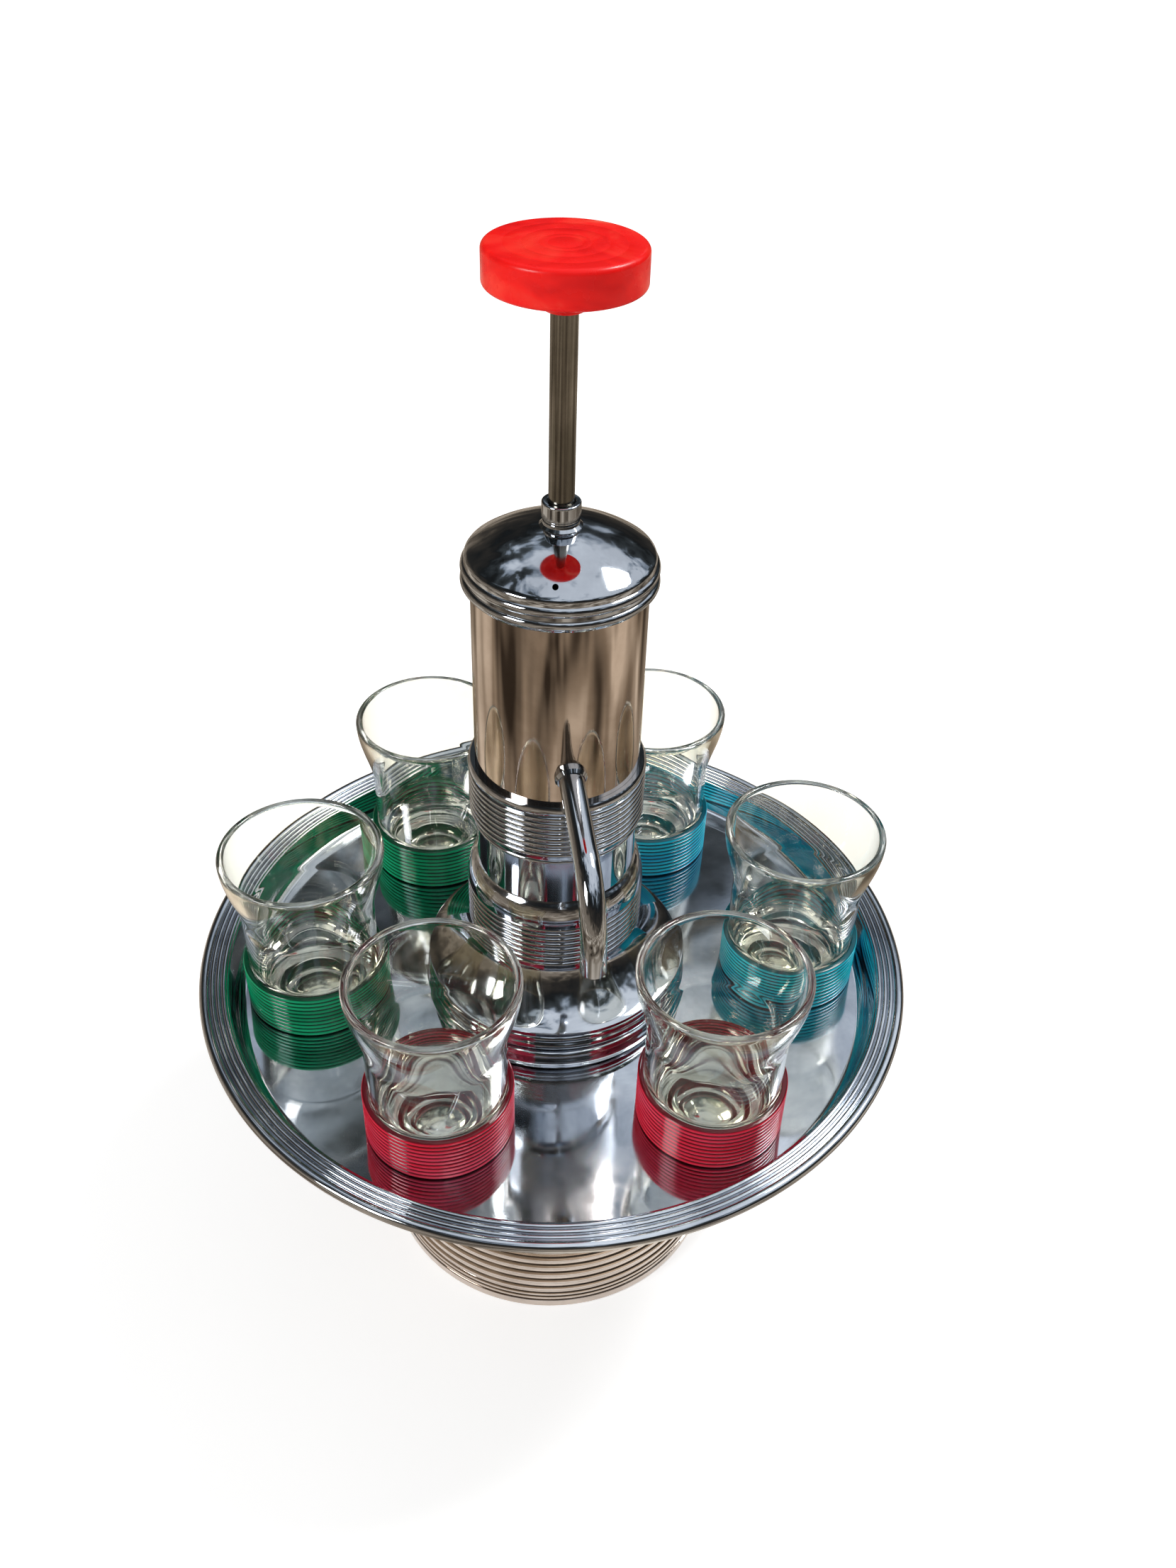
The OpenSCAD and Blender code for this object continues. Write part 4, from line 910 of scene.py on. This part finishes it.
def soft_lamp(name, place, power, size, aim=(0, 0, 0.2)):
    """A square area lamp that faces a point."""
    data = bpy.data.lights.new(name, "AREA")
    data.energy = power
    data.size = size
    lamp = bpy.data.objects.new(name, data)
    bpy.context.scene.collection.objects.link(lamp)
    lamp.location = place
    lamp.rotation_euler = (Vector(aim) - Vector(place)).to_track_quat("-Z", "Y").to_euler()


soft_lamp("key_lamp", (0.9, 0.35, 1.5), 16, 0.45)
soft_lamp("fill_lamp", (-1.2, -0.9, 1.1), 15, 0.55)

world = bpy.data.worlds.new("studio_world")
bpy.context.scene.world = world
world.use_nodes = True
tree = world.node_tree
sky = tree.nodes["Background"]
set_values(sky, {"Color": (1, 1, 1, 1)})
level = spread(tree, seen_white(tree), FILL_LEVEL, 1, 0, 1)
tree.links.new(level, sky.inputs["Strength"])
bpy.context.scene.view_settings.view_transform = "Standard"
# A glass wall carries light along inside it for dozens of bounces, so the paths are long.
cycles = bpy.context.scene.cycles
cycles.max_bounces, cycles.glossy_bounces, cycles.transmission_bounces = 64, 48, 32
print("lamps and world set")

# %% [markdown]
# ## Camera
# The photograph looks down at the dispenser from close by. Its round edges are ellipses, and their
# shapes give the height, the tilt and the lens. The camera here has those values.

# %% Camera
IMAGE_H, FOCAL_PX = 2212, 1944.69
SENSOR = 36
PITCH, YAW, ROLL = math.radians(38.567), math.radians(1.66), math.radians(1.991)
CAMERA_PLACE = (0, -0.33941, 0.46772)
lens = bpy.data.cameras.new("photo_camera")
lens.sensor_width = SENSOR
lens.lens = FOCAL_PX / IMAGE_H * SENSOR
lens.clip_start = 0.01
camera = bpy.data.objects.new("photo_camera", lens)
bpy.context.scene.collection.objects.link(camera)
forward = Vector((math.sin(YAW) * math.cos(PITCH), math.cos(YAW) * math.cos(PITCH),
                  -math.sin(PITCH)))
right = Vector((math.cos(YAW), -math.sin(YAW), 0))
up = right.cross(forward)
right, up = (right * math.cos(ROLL) + up * math.sin(ROLL),
             up * math.cos(ROLL) - right * math.sin(ROLL))
axes = Matrix((right, up, -forward)).transposed().to_4x4()
camera.matrix_world = Matrix.Translation(CAMERA_PLACE) @ axes
bpy.context.scene.camera = camera
print("lens", round(lens.lens, 2), "mm")
